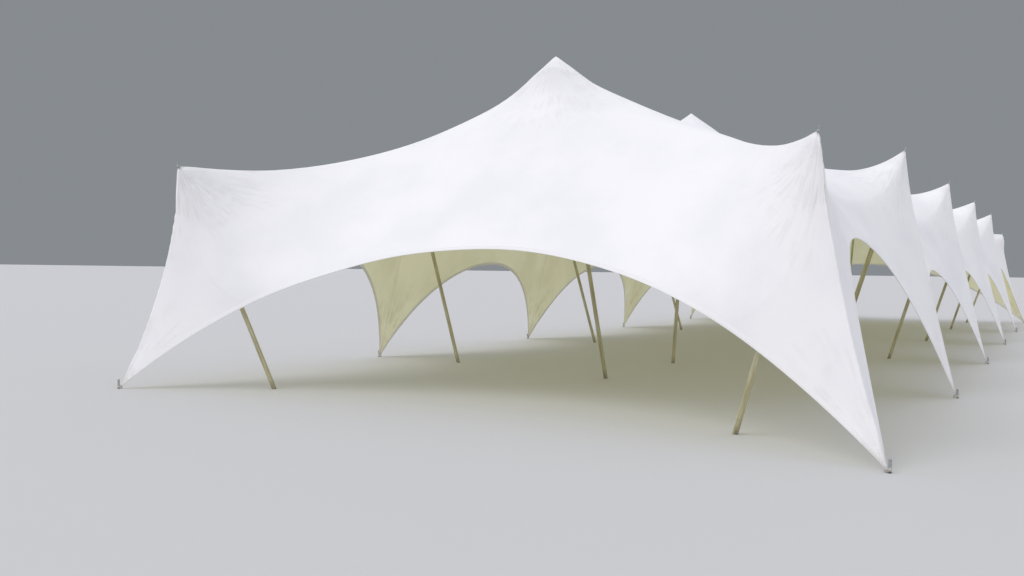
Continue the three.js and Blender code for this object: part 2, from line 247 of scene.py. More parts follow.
# %% [markdown]
# ## Solving the net
# At rest every free node sits where the pulls of its threads cancel out. That gives one linear
# equation for each node. The net has under 1500 nodes, so one full matrix and one call to a solver
# are simpler than many rounds of small moves, and just as quick.

# %% Solve the net
def solve_net():
    """Place of every node of the net, where its threads balance."""
    count = (ACROSS + 1) * (ALONG + 1)
    pulls = np.zeros((count, count))
    number = np.arange(count).reshape(ACROSS + 1, ALONG + 1)

    def tie(a, b, pull):
        a, b = number[a], number[b]
        pulls[a, b] -= pull
        pulls[b, a] -= pull
        pulls[a, a] += pull
        pulls[b, b] += pull

    for i in range(ACROSS + 1):
        for j in range(ALONG + 1):
            if i < ACROSS:
                tie((i, j), (i + 1, j), pull_across(i, j))
            if j < ALONG:
                tie((i, j), (i, j + 1), pull_along(i, j))
    for a, b, kind in diagonal_ties():
        tie(a, b, PULL[kind])
    fixed_nodes = {**held, **patches}
    fixed = np.array([number[node] for node in fixed_nodes])
    free = np.setdiff1d(np.arange(count), fixed)
    places = np.zeros((count, 3))
    places[fixed] = list(fixed_nodes.values())
    load = -pulls[np.ix_(free, fixed)] @ places[fixed]
    places[free] = np.linalg.solve(pulls[np.ix_(free, free)], load)
    return places.reshape(ACROSS + 1, ALONG + 1, 3)


net = solve_net()
print("net solved, highest point", round(float(net[..., 2].max()), 3), "m")

# %% [markdown]
# ## A smooth line through the nodes
# One cell of the net is about half a metre, so it has to be filled in. A curve object could do
# that for one line, but the net needs it in both directions at once. So the cubic spline is
# written as a table: each place on the line takes a share of the four nodes next to it.

# %% Spline through the nodes
FINE = 6


def spline_shares(place, cells):
    """The four nodes next to each place, and their shares."""
    first = np.clip(np.floor(place).astype(int), 0, cells - 1)
    t = place - first
    shares = np.stack([(-t + 2 * t**2 - t**3) / 2, (2 - 5 * t**2 + 3 * t**3) / 2,
                       (t + 4 * t**2 - 3 * t**3) / 2, (t**3 - t**2) / 2], -1)
    return first[..., None] + np.arange(4), shares


def longer(rows):
    """The rows with one more beyond each end, carried on along the same curve."""
    before = 3 * rows[:1] - 3 * rows[1:2] + rows[2:3]
    after = 3 * rows[-1:] - 3 * rows[-2:-1] + rows[-3:-2]
    return np.concatenate([before, rows, after])


def spline_matrix(cells):
    """Takes the nodes of a line to the finer places on a smooth curve through all of them."""
    nodes, shares = spline_shares(np.arange(cells * FINE + 1) / FINE, cells)
    matrix = np.zeros((cells * FINE + 1, cells + 3))
    np.put_along_axis(matrix, nodes, shares, 1)
    return matrix @ longer(np.eye(cells + 1))


spline_cloth = np.einsum("pi,ijc,qj->pqc", spline_matrix(ACROSS), net, spline_matrix(ALONG))
print("finer net", spline_cloth.shape[:2])

# %% [markdown]
# ## Pulls of the finer threads
# A spline alone would ripple beside a taut line that crosses the cells, so the finer net has to
# settle under pulls of its own. The sheet's pull is shared between the finer threads. A hem or a
# leg is a cable: it stays one thread, and gets stiffer as its pieces get shorter.

# %% Pulls of the finer threads
def between(count):
    """Shares of the two nearest threads at each finer thread."""
    finer, threads = np.arange(count * FINE + 1) / FINE, np.arange(count + 1)
    return np.clip(1 - np.abs(finer[:, None] - threads[None, :]), 0, 1)


def finer_pulls():
    across = np.array([[pull_across(i, j) for j in range(ALONG + 1)] for i in range(ACROSS)])
    along = np.array([[pull_along(i, j) for j in range(ALONG)] for i in range(ACROSS + 1)])
    cables_across, cables_along = np.zeros_like(across), np.zeros_like(along)
    for row in LEG_ROWS:
        beside = row + 1 if row < ALONG else row - 1
        cables_across[:, row] = across[:, row] - across[:, beside]
        across[:, row] = across[:, beside]
    for column, beside in ((0, 1), (ACROSS, ACROSS - 1)):
        cables_along[column] = along[column] - along[beside]
        along[column] = along[beside]
    fine_across = np.repeat(across, FINE, 0) @ between(ALONG).T
    fine_along = between(ACROSS) @ np.repeat(along, FINE, 1)
    fine_across[:, [0, -1]] /= 2
    fine_along[[0, -1]] /= 2
    fine_across[:, ::FINE] += FINE * np.repeat(cables_across, FINE, 0)
    fine_along[::FINE] += FINE * np.repeat(cables_along, FINE, 1)
    return fine_across[..., None], fine_along[..., None]


def finer_ties():
    """The diagonal ties, each one cut into shorter and stiffer pieces."""
    starts, ends, pulls = [], [], []
    for a, b, kind in diagonal_ties():
        step = np.array(b) - np.array(a)
        for k in range(FINE):
            starts.append(np.array(a) * FINE + step * k)
            ends.append(np.array(a) * FINE + step * (k + 1))
            pulls.append(FINE * PULL[kind])
    return tuple(np.array(starts).T), tuple(np.array(ends).T), np.array(pulls)[:, None]


across_pulls, along_pulls = finer_pulls()
tie_starts, tie_ends, tie_pulls = finer_ties()
print("finer ties:", len(tie_pulls))

# %% [markdown]
# ## Patches and cut
# The stiff patch at each high peak holds all the finer nodes that it covers. Towards the ends of
# the tent the cloth falls away steeply from the peak, so the patch is steeper there. A real canopy
# is cut a little fuller between that peak and the corners than a plain net would hang, and a
# little leaner behind the peak. Small pushes up and down on the finer nodes stand for the cut.

# %% Patches and cut
PATCH_REACH = 1.05
END_CELL, END_SLOPE = 0.10, 1.65
CUT_ASIDE, CUT_SPREAD = 2.6, 1.5
CUT_PUSHES = ((2.4, 0.009), (-2.6, -0.012))


def finer_held():
    places = {(i * FINE, j * FINE): point for (i, j), point in held.items()}
    for bay in range(BAYS):
        x, y, z = high_peak(bay)
        for di in range(-FINE, FINE + 1):
            for dj in range(-FINE, FINE + 1):
                if math.hypot(di, dj) > PATCH_REACH * FINE:
                    continue
                towards_end = (bay == 0 and dj < 0) or (bay == BAYS - 1 and dj > 0)
                cell, slope = (END_CELL, END_SLOPE) if towards_end else (PATCH_CELL, PATCH_SLOPE)
                dx, dy = di / FINE * PATCH_CELL, dj / FINE * cell
                node = (MIDDLE * FINE + di, high_row(bay) * FINE + dj)
                places[node] = (x - dx, y + dy, z - math.hypot(PATCH_SLOPE * dx, slope * dy))
    return places


def cut_push():
    """Upward push on the finer nodes round the first and the last high peak."""
    i, j = np.meshgrid(np.arange(ACROSS * FINE + 1) / FINE, np.arange(ALONG * FINE + 1) / FINE,
                       indexing="ij")
    push = np.zeros(i.shape)
    for towards_end, strength in CUT_PUSHES:
        for side in (1, -1):
            for row in (high_row(0) - towards_end, high_row(BAYS - 1) + towards_end):
                away = np.hypot(i - MIDDLE - side * CUT_ASIDE, j - row)
                push += strength * np.exp(-(away / CUT_SPREAD)**2)
    return push


finer_places = finer_held()
push = cut_push()
print("finer nodes held:", len(finer_places))

# %% [markdown]
# ## Settling
# The finer net has 49,000 nodes, too many for one full matrix. So it settles in rounds, in which
# each node moves to where its own pulls balance. The rounds are sped up in Chebyshev's way, where
# each step also uses the step before it.

# %% Settle the finer net
SETTLING_ROUNDS = 240
SPREAD = 0.9995


def total_pull(shape):
    """All the pulls on each finer node, added up."""
    total = np.zeros(shape + (1,))
    for block, pulls in (((slice(None, -1),), across_pulls), ((slice(1, None),), across_pulls),
                         ((slice(None), slice(None, -1)), along_pulls),
                         ((slice(None), slice(1, None)), along_pulls)):
        total[block] += pulls
    for nodes in (tie_starts, tie_ends):
        np.add.at(total, nodes, tie_pulls)
    return total


def settle(cloth):
    nodes = tuple(np.array(list(finer_places)).T)
    points = np.array(list(finer_places.values()), float)
    cloth[nodes] = points
    total = total_pull(cloth.shape[:2])
    before, weight = cloth.copy(), 1.0
    for round_number in range(SETTLING_ROUNDS):
        pulled = np.zeros_like(cloth)
        pulled[:-1] += across_pulls * cloth[1:]
        pulled[1:] += across_pulls * cloth[:-1]
        pulled[:, :-1] += along_pulls * cloth[:, 1:]
        pulled[:, 1:] += along_pulls * cloth[:, :-1]
        np.add.at(pulled, tie_starts, tie_pulls * cloth[tie_ends])
        np.add.at(pulled, tie_ends, tie_pulls * cloth[tie_starts])
        if round_number == 1:
            weight = 1 / (1 - SPREAD**2 / 2)
        elif round_number > 1:
            weight = 1 / (1 - SPREAD**2 * weight / 4)
        pulled[..., 2] += push
        settled = before + weight * (pulled / total - before)
        settled[nodes] = points
        before, cloth = cloth, settled
    return cloth


fine_net = settle(spline_cloth)
print("finer net moved from the coarse one by at most",
      round(float(np.abs(fine_net[::FINE, ::FINE] - net).max()), 3), "m")

# %% [markdown]
# ## A smooth surface through the finer net
# Between the finer nodes the cloth is a cubic spline in both directions. A spline would round off
# the peaks, but a real canopy comes to a point there. So inside one cell of each held point every
# ray runs to the point itself. At a high peak it is straight, as on a cone. At the other points it
# bends a little, so that it joins the spline at the rim with the same slope.

# %% Smooth surface
RIM_STEP = 0.05
TINY = 1e-9

wide_net = longer(longer(fine_net).swapaxes(0, 1)).swapaxes(0, 1)


def spline_surface(s, t):
    rows, row_shares = spline_shares(np.asarray(s) * FINE, ACROSS * FINE)
    columns, column_shares = spline_shares(np.asarray(t) * FINE, ALONG * FINE)
    nodes = wide_net[rows[..., :, None], columns[..., None, :]]
    return np.einsum("...a,...b,...abc->...c", row_shares, column_shares, nodes)


def surface(s, t):
    """The middle of the cloth at s cells across and t cells along."""
    s, t = np.broadcast_arrays(np.asarray(s, float), np.asarray(t, float))
    places = spline_surface(s, t)
    for (i, j), point in held.items():
        ds, dt = s - i, t - j
        reach = np.hypot(ds, dt)
        near = reach < 1
        if not near.any():
            continue
        r = reach[near][:, None]
        unit_s = ds[near] / np.maximum(r[:, 0], TINY)
        unit_t = dt[near] / np.maximum(r[:, 0], TINY)
        rim, further = (spline_surface(i + far * unit_s, j + far * unit_t) - point
                        for far in (1, 1 + RIM_STEP))
        slope = rim if i == MIDDLE else (further - rim) / RIM_STEP
        places[near] = point + (2 * rim - slope) * r + (slope - rim) * r**2
    return places


print("crown of the front arch at", round(float(surface(MIDDLE, 0)[2]), 2), "m")

# %% [markdown]
# ## A fine grid over the whole canopy
# The bays are sewn into one canopy, so they are worked out as one grid and cut apart later. That
# way the slope and the creases carry on from bay to bay without a step. Each cell of the net gets
# as many lines across as along, so that a fold that crosses cells diagonally meets grid points.

# %% Grid
PARTS = 11
s_grid, t_grid = np.meshgrid(np.linspace(0, ACROSS, ACROSS * PARTS + 1),
                             np.linspace(0, ALONG, ALONG * PARTS + 1), indexing="ij")
smooth_places = surface(s_grid, t_grid)


def unit(vectors):
    """The same directions, each with a length of one."""
    return vectors / np.maximum(np.linalg.norm(vectors, axis=-1, keepdims=True), TINY)


def grid_direction(places, axis):
    """Direction of the grid lines at each point, midway between the lengths on both sides."""
    steps = unit(np.diff(places, axis=axis))
    first, last = np.take(steps, [0], axis), np.take(steps, [-1], axis)
    return np.concatenate([first, steps], axis) + np.concatenate([steps, last], axis)


def outward(places):
    """Direction out of the cloth at each point of a grid. At a fold it lies between both sides."""
    return unit(np.cross(grid_direction(places, 1), grid_direction(places, 0)))


print("grid of", smooth_places.shape[:2], "points")

# %% [markdown]
# ## Where the poles stand
# The cloth has to lie on the poles and not in them, so their lines are needed before the cloth
# gets its relief. Feet stand on the floor inside the peaks, and the reach of each pole is
# measured on its solid.

# %% Lines of the poles
POLE_RADIUS, POLE_PIN_RADIUS, POLE_SHOULDER = 0.031, 0.009, 0.24
SIDE_FOOT_INSET, CORNER_FOOT_INSET_X, CORNER_FOOT_INSET_Y = 1.71, 1.66, 1.15
CORNER_HEAD_INSET = 0.12
FOOT_SHIFTS = (1.806, -0.736, 0, 0.736, -1.806)
EDGE_LINES = [(name, side, line) for name, side in (("right", 1), ("left", -1))
              for line in range(BAYS + 1)]


def inwards(line):
    return {0: 1, BAYS: -1}.get(line, 0)


def pole_line(node, foot, head):
    """Foot, direction and reach of a pole of the solid model."""
    foot, axis = Vector(foot), (Vector(head) - Vector(foot)).normalized()
    reach = max((vertex.co - foot).dot(axis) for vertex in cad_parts[node].data.vertices)
    return foot, axis, reach


pole_lines = {}
for bay in range(BAYS):
    x, y, z = high_peak(bay)
    node = f"centre_pole_{bay + 1}"
    pole_lines[node] = pole_line(node, (x, y + FOOT_SHIFTS[bay], 0), (x, y, z))
for name, side, line in EDGE_LINES:
    inset = CORNER_FOOT_INSET_X if inwards(line) else SIDE_FOOT_INSET
    foot = (side * (HALF_WIDTH - inset), line_y(line) + inwards(line) * CORNER_FOOT_INSET_Y, 0)
    x, y, z = edge_peak(side, line)
    node = f"{name}_pole_{line + 1}"
    pole_lines[node] = pole_line(node, foot, (x, y + inwards(line) * CORNER_HEAD_INSET, z))
print("pole lines:", len(pole_lines), "longest:",
      round(max(reach for _, _, reach in pole_lines.values()), 2), "m")

# %% [markdown]
# ## Creases
# Cloth that is pulled to a point gathers in folds that run out from that point. They could be
# painted as bump, but the larger ones show in the outline and in the shadows, so they are real
# relief here. A fold keeps to one direction from its point, so its height comes from waves over
# that direction. It starts flat at the point, is highest a short way out, and fades away.

# %% Creases
CORNER_FOLDS = {"lobes": 13, "height": 0.011, "highest_at": 0.42}
EDGE_FOLDS = {"lobes": 12, "height": 0.008, "highest_at": 0.30}
HIGH_FOLDS = {"lobes": 9, "height": 0.004, "highest_at": 0.30}
TIP_FOLDS = {"lobes": 10, "height": 0.006, "highest_at": 0.45}
EDGE_SEED, TIP_SEED, HIGH_SEED, SLACK_SEED = 100, 600, 900, 41
WAVES, LOBE_RANGE, FOLD_FADE = 5, (0.6, 1.3), 1.2
SLACK_HEIGHT, SLACK_ACROSS, SLACK_ALONG = 0.004, (0.8, 2.2), (0.5, 1.6)


def fan(places, point, lobes, height, highest_at, seed):
    """Height of the folds that run out from a point."""
    rng = np.random.default_rng(seed)
    offset = places - np.array(point, float)
    direction = unit(offset)
    wave = np.zeros(offset.shape[:-1])
    for _ in range(WAVES):
        axis = rng.normal(size=3)
        axis *= lobes * rng.uniform(*LOBE_RANGE) / np.linalg.norm(axis)
        wave += np.sin(direction @ axis + rng.uniform(0, 2 * math.pi))
    wave = np.tanh(wave / math.sqrt(WAVES / 2))
    share = np.linalg.norm(offset, axis=-1) / highest_at
    return height * wave * share**2 * np.exp(FOLD_FADE * (1 - share**1.5))


def slack(s, t):
    """Long shallow waves, as in cloth that isn't equally tight all over."""
    rng = np.random.default_rng(SLACK_SEED)
    wave = np.zeros(s.shape)
    for _ in range(WAVES):
        turn_s = rng.uniform(*SLACK_ACROSS)
        turn_t = rng.uniform(*SLACK_ALONG) * rng.choice((-1, 1))
        wave += np.sin(turn_s * s + turn_t * t + rng.uniform(0, 2 * math.pi))
    return SLACK_HEIGHT * wave / math.sqrt(WAVES / 2)


def crease_height(places, s, t):
    height = slack(s, t)
    for line in range(BAYS + 1):
        for side in (1, -1):
            which = 10 * line + side
            folds = CORNER_FOLDS if line in (0, BAYS) else EDGE_FOLDS
            height += fan(places, edge_peak(side, line), seed=EDGE_SEED + which, **folds)
            height += fan(places, leg_tip(side, line), seed=TIP_SEED + which, **TIP_FOLDS)
    for bay in range(BAYS):
        height += fan(places, high_peak(bay), seed=HIGH_SEED + bay, **HIGH_FOLDS)
    return height


def hold(values):
    """Sets values of the grid back to nothing at the held points."""
    for i, j in held:
        values[i * PARTS, j * PARTS] = 0
    return values[..., None]


crease = crease_height(smooth_places, s_grid, t_grid)
creased_places = smooth_places + hold(crease) * outward(smooth_places)
print("creases up to", round(1000 * float(np.abs(crease).max()), 1), "mm")

# %% [markdown]
# ## The cloth lies on the poles
# Near its head a pole comes close to the cloth from inside. Where the cloth would pass through
# the pole, it is lifted out along its own normal, over a low ridge much wider than the pole.
# A lift for those points alone would leave a hard step, so the points round them follow in
# rounds, like a skin drawn over a rod.

# %% Lift over the poles
POLE_CLEARANCE = 0.008
RIDGE_HALF_WIDTH = 0.22
UPPER_PART, PAST_HEAD = 1.2, 0.01
LEAST_TILT, HIGHEST_LIFT = 0.25, 0.12
DRAPING_ROUNDS, DRAPING_HOLD = 60, 0.985


def lift_over_poles(places, normals):
    """How far each point of the cloth must move out to clear the poles."""
    lift = np.zeros(places.shape[:2])
    for foot, axis, reach in pole_lines.values():
        foot, axis = np.array(foot), np.array(axis)
        offset = places - foot
        run = offset @ axis
        ridge = POLE_CLEARANCE + np.interp(run, [0, reach - POLE_SHOULDER, reach],
                                           [POLE_RADIUS, POLE_RADIUS, POLE_PIN_RADIUS])
        beside = offset - run[..., None] * axis
        out = normals - (normals @ axis)[..., None] * axis
        tilt = np.maximum(np.linalg.norm(out, axis=-1), LEAST_TILT)
        height = np.sum(beside * out, -1) / tilt
        aside = np.sqrt(np.maximum(np.sum(beside**2, -1) - height**2, 0)) / RIDGE_HALF_WIDTH
        way = (ridge * (1 - aside**2) - height) / tilt
        near = (run > reach - UPPER_PART) & (run < reach + PAST_HEAD)
        near &= (aside < 1) & (way < HIGHEST_LIFT)
        lift = np.where(near, np.maximum(lift, way), lift)
    draped = lift.copy()
    for _ in range(DRAPING_ROUNDS):
        edge = np.pad(draped, 1, mode="edge")
        average = (edge[:-2, 1:-1] + edge[2:, 1:-1] + edge[1:-1, :-2] + edge[1:-1, 2:]) / 4
        draped = np.maximum(lift, DRAPING_HOLD * average)
    return draped


lift = lift_over_poles(creased_places, outward(creased_places))
cloth_places = creased_places + hold(lift) * outward(creased_places)
cloth_normals = outward(cloth_places)
print("cloth lifted over the poles by up to", round(1000 * float(lift.max()), 1), "mm")

# %% [markdown]
# ## Offsets for the fine creases
# The finest creases are too narrow for the grid, so the material draws them as bump. For that,
# each point of the cloth carries a vector from the nearest peak or leg tip. A mesh attribute is
# the simplest way to hand such a vector to a material. A second attribute fades the creases out
# well before the line where another peak gets nearer, because the vector jumps there.

# %% Nearest pulled point
CREASE_START, CREASE_FULL = 0.02, 0.22
CREASE_FADE, CREASE_END = 0.45, 1.9
BORDER, BORDER_CLEAR = 0.15, 0.5
pulled_points = np.array(list(held.values()), float)


def smooth_step(values, low, high):
    share = np.clip((values - low) / (high - low), 0, 1)
    return share * share * (3 - 2 * share)


def from_nearest(places):
    """Vector from the nearest pulled point, and how strongly the cloth creases there."""
    flat = places.reshape(-1, 3)
    distances = np.linalg.norm(flat[:, None, :] - pulled_points[None, :, :], axis=-1)
    nearest, second = np.sort(distances, axis=1)[:, :2].T
    offset = (flat - pulled_points[distances.argmin(1)]).reshape(places.shape)
    fade = smooth_step(nearest, CREASE_START, CREASE_FULL)
    fade *= 1 - smooth_step(nearest, CREASE_FADE, CREASE_END)
    fade *= smooth_step(second - nearest, BORDER, BORDER_CLEAR)
    return offset, fade.reshape(places.shape[:2])


pulled_offset, crease_share = from_nearest(cloth_places)
print("farthest from a pulled point:",
      round(float(np.linalg.norm(pulled_offset, axis=-1).max()), 2), "m")

# %% [markdown]
# ## Small tools for materials
# Every material here is built from nodes in code. One helper places a node and fills its inputs
# with numbers or links. Another one starts a node group with named inputs and outputs. An effect
# that several materials share is made once as such a group.

# %% Node tools
NUMBER, VECTOR = "NodeSocketFloat", "NodeSocketVector"


def fill(tree, node, inputs):
    """Fills inputs of a node with values or links."""
    for name, value in inputs.items():
        if isinstance(value, bpy.types.NodeSocket):
            tree.links.new(value, node.inputs[name])
        else:
            node.inputs[name].default_value = value


def put(tree, kind, inputs=None, **settings):
    """Adds a node, sets its options and fills its inputs."""
    node = tree.nodes.new(kind)
    for name, value in settings.items():
        setattr(node, name, value)
    fill(tree, node, inputs or {})
    return node


def sums(tree, operation, result, *others):
    """A math node of one or two values, or a row of nodes where there are more."""
    if not others:
        return put(tree, "ShaderNodeMath", {0: result}, operation=operation).outputs[0]
    for value in others:
        result = put(tree, "ShaderNodeMath", {0: result, 1: value},
                     operation=operation).outputs[0]
    return result


def remap(tree, value, low, high, to_low=0.0, to_high=1.0):
    return put(tree, "ShaderNodeMapRange",
               {"Value": value, "From Min": low, "From Max": high,
                "To Min": to_low, "To Max": to_high}, interpolation_type="SMOOTHSTEP").outputs[0]


def blend_colours(tree, share, first, second):
    """Mixes two colours, each one a link or three numbers."""
    first, second = ((*value, 1) if isinstance(value, tuple) else value
                     for value in (first, second))
    return put(tree, "ShaderNodeMix", {0: share, 6: first, 7: second}, data_type="RGBA").outputs[2]


def noise(tree, vector, scale, detail=2.0):
    return put(tree, "ShaderNodeTexNoise",
               {"Vector": vector, "Scale": scale, "Detail": detail}).outputs["Fac"]


def start_group(name, inputs, outputs):
    """A node group with named inputs and outputs, each input with its kind and its value."""
    group = bpy.data.node_groups.new(name, "ShaderNodeTree")
    for label, kind, value in inputs:
        socket = group.interface.new_socket(label, in_out="INPUT", socket_type=kind)
        socket.default_value = value
    for label in outputs:
        group.interface.new_socket(label, in_out="OUTPUT", socket_type="NodeSocketFloat")
    return group, put(group, "NodeGroupInput").outputs, put(group, "NodeGroupOutput")


def use_group(tree, group, inputs):
    return put(tree, "ShaderNodeGroup", inputs, node_tree=group).outputs


print("node tools ready")

# %% [markdown]
# ## Weave
# Canvas has threads that go over and under each other. Two rows of waves at right angles, one
# taken from the other, give that checked relief. A little noise keeps it from looking printed.

# %% Weave group
UNEVEN_THREADS = 60.0


def weave_group():
    group, given, out = start_group("weave", [
        ("Cloth place", VECTOR, (0, 0, 0)), ("Threads per metre", NUMBER, 500.0),
        ("Relief", NUMBER, 0.0002)], ["Height"])
    place = put(group, "ShaderNodeSeparateXYZ", {0: given["Cloth place"]}).outputs
    turn = sums(group, "MULTIPLY", given["Threads per metre"], math.pi)
    warp, weft = (sums(group, "SINE", sums(group, "MULTIPLY", place[axis], turn))
                  for axis in (0, 1))
    uneven = noise(group, given["Cloth place"], UNEVEN_THREADS)
    checked = sums(group, "MULTIPLY", warp, weft)
    height = sums(group, "MULTIPLY", sums(group, "ADD", checked, uneven), given["Relief"])
    fill(group, out, {"Height": height})
    return group


weave = weave_group()
print("group:", weave.name)

# %% [markdown]
# ## Fine creases
# These are the thin folds at the peaks and legs. The noise is read on the direction from the
# pulled point, so it stretches into rays. A second, smaller noise lets the rays come and go.

# %% Fine crease group
RAY_WANDER, RAY_EDGES = 0.12, (0.35, 0.65)
RAY_GAPS, GAP_EDGES, FAINTEST_RAY = 3.5, (0.4, 0.62), 0.25


def fine_crease_group():
    group, given, out = start_group("fine creases", [
        ("Offset", VECTOR, (0, 0, 0)), ("Share", NUMBER, 0.0), ("Rays", NUMBER, 14.0),
        ("Relief", NUMBER, 0.003)], ["Height"])
    direction = put(group, "ShaderNodeVectorMath", {0: given["Offset"]},
                    operation="NORMALIZE").outputs["Vector"]
    wander = put(group, "ShaderNodeVectorMath", {0: given["Offset"], 3: RAY_WANDER},
                 operation="SCALE").outputs["Vector"]
    ray_place = put(group, "ShaderNodeVectorMath", {0: direction, 1: wander},
                    operation="ADD").outputs["Vector"]
    rays = noise(group, ray_place, given["Rays"], 1.0)
    gaps = noise(group, given["Offset"], RAY_GAPS)
    come_and_go = remap(group, gaps, *GAP_EDGES, FAINTEST_RAY, 1.0)
    sharp = remap(group, rays, *RAY_EDGES)
    height = sums(group, "MULTIPLY", sharp, come_and_go, given["Share"], given["Relief"])
    fill(group, out, {"Height": height})
    return group


fine_creases = fine_crease_group()
print("group:", fine_creases.name)

# %% [markdown]
# ## Stitched lines
# Where two widths of canvas are sewn, the cloth is double and a row of stitches sinks into it.
# The group takes the distance from the middle of the seam and the length along it, both in
# metres, and gives the relief and a mask for the slightly darker thread.

# %% Stitch group
ROW_EDGES, STITCH_EDGES, DOUBLED_EDGES = (0.0008, 0.0022), (-0.5, 0.3), (0.001, 0.005)


def stitch_group():
    group, given, out = start_group("stitched line", [
        ("From line", NUMBER, 0.0), ("Along", NUMBER, 0.0), ("Half width", NUMBER, 0.010),
        ("Stitch length", NUMBER, 0.009), ("Relief", NUMBER, 0.0008)], ["Height", "Thread"])
    away = sums(group, "ABSOLUTE", given["From line"])
    past_edge = sums(group, "SUBTRACT", away, given["Half width"])
    in_row = remap(group, sums(group, "ABSOLUTE", past_edge), *ROW_EDGES, 1.0, 0.0)
    turn = sums(group, "DIVIDE", given["Along"], given["Stitch length"])
    wave = sums(group, "SINE", sums(group, "MULTIPLY", turn, 2 * math.pi))
    thread = sums(group, "MULTIPLY", in_row, remap(group, wave, *STITCH_EDGES))
    doubled = remap(group, past_edge, *DOUBLED_EDGES, 1.0, 0.0)
    height = sums(group, "MULTIPLY", sums(group, "SUBTRACT", doubled, in_row),
                  given["Relief"])
    fill(group, out, {"Height": height, "Thread": thread})
    return group


stitched_line = stitch_group()
print("group:", stitched_line.name)

# %% [markdown]
# ## Soiling near the ground
# The feet of a tent take up dust and splashes. The mask is strongest at the ground and ends
# raggedly at a given height, with a few fainter streaks above it.

# %% Soiling group
SPLASHES, SPLASH_REACH, SPLASH_BASE = 9.0, 1.4, 0.15
SPOTS, SPOT_EDGES, FAINTEST_SPOT = 38.0, (0.35, 0.75), 0.45


def soiling_group():
    group, given, out = start_group("soiling", [
        ("Place", VECTOR, (0, 0, 0)), ("Up to", NUMBER, 0.35), ("Strength", NUMBER, 0.5)],
        ["Mask"])
    height = put(group, "ShaderNodeSeparateXYZ", {0: given["Place"]}).outputs[2]
    patches = noise(group, given["Place"], SPLASHES, 4.0)
    reach = sums(group, "ADD", sums(group, "MULTIPLY", patches, SPLASH_REACH), SPLASH_BASE)
    ragged = sums(group, "MULTIPLY", given["Up to"], reach)
    low = remap(group, sums(group, "DIVIDE", height, ragged), 0.0, 1.0, 1.0, 0.0)
    spots = remap(group, noise(group, given["Place"], SPOTS, 3.0), *SPOT_EDGES,
                  FAINTEST_SPOT, 1.0)
    fill(group, out, {"Mask": sums(group, "MULTIPLY", low, spots, given["Strength"])})
    return group


soiling = soiling_group()
print("group:", soiling.name)

# %% [markdown]
# ## Starting and finishing a material
# Every material below starts from the same shader and ends in the same way: colour and roughness
# go straight into the shader, and the relief goes through a Bump node. Three small helpers save
# those lines each time.

# %% Material tools
def start_material(name, roughness=0.6, metallic=0.0):
    material = bpy.data.materials.new(name)
    material.use_nodes = True
    shader = material.node_tree.nodes["Principled BSDF"]
    shader.inputs["Roughness"].default_value = roughness
    shader.inputs["Metallic"].default_value = metallic
    return material, material.node_tree, shader


def mesh_place(tree, uv_map=None):
    """Place on a UV map of the mesh, or the place in metres where no map is named."""
    if uv_map:
        return put(tree, "ShaderNodeUVMap", uv_map=uv_map).outputs[0]
    return put(tree, "ShaderNodeTexCoord").outputs["Object"]


def finish_surface(tree, shader, height, inputs):
    """Fills the shader's inputs, and brings the relief in through a Bump node."""
    bump = put(tree, "ShaderNodeBump", {"Height": height, "Strength": 1.0, "Distance": 1.0})
    fill(tree, shader, {**inputs, "Normal": bump.outputs[0]})


print("material tools ready")

# %% [markdown]
# ## Canvas, outside and inside
# The outer face is bright white and matt. The inner face is beige, and daylight comes through the
# cloth, so it also glows a little. Real light through cloth would need many samples, so the glow
# is a faint emission in the colour of the cloth. Both faces share their weave, creases, seams and
# soiling, so one function makes both. Shade is painted into the folds: the creases are darkened
# towards the dirt colour, more on the inner face.

# %% Canvas materials
# The dirt colour is both real soiling near the ground and the painted shade in the folds;
# fold_shade sets how much of that shade is painted.
OUTSIDE = {"plain": (0.93, 0.925, 0.92), "shaded": (0.88, 0.875, 0.885),
           "dirt": (0.42, 0.38, 0.30), "fold_shade": 0.10}
INSIDE = {"plain": (0.73, 0.72, 0.54), "shaded": (0.66, 0.65, 0.47),
          "dirt": (0.36, 0.32, 0.23), "fold_shade": 0.35, "glow": 0.28}
SEAM_EVERY, CELL_LENGTH = 3, 0.44
THREAD_SHADE, SHEEN = 0.35, 0.15
FOLD_RELIEF, SEAM_RELIEF, WEAVE_RELIEF, DENT_RELIEF = 0.004, 0.0006, 0.00012, 0.003
CLOUDS, CLOUD_EDGES, DENTS = 1.1, (0.35, 0.7), 7.0
NOISE_RANGE, CANVAS_ROUGHNESS = (0.3, 0.7), (0.62, 0.78)


def from_seam(tree, cells_along):
    """Distance in metres from the nearest seam between two widths of canvas."""
    turn = sums(tree, "DIVIDE", cells_along, float(SEAM_EVERY))
    past_seam = sums(tree, "SUBTRACT", turn, sums(tree, "ROUND", turn))
    return sums(tree, "MULTIPLY", past_seam, SEAM_EVERY * CELL_LENGTH)


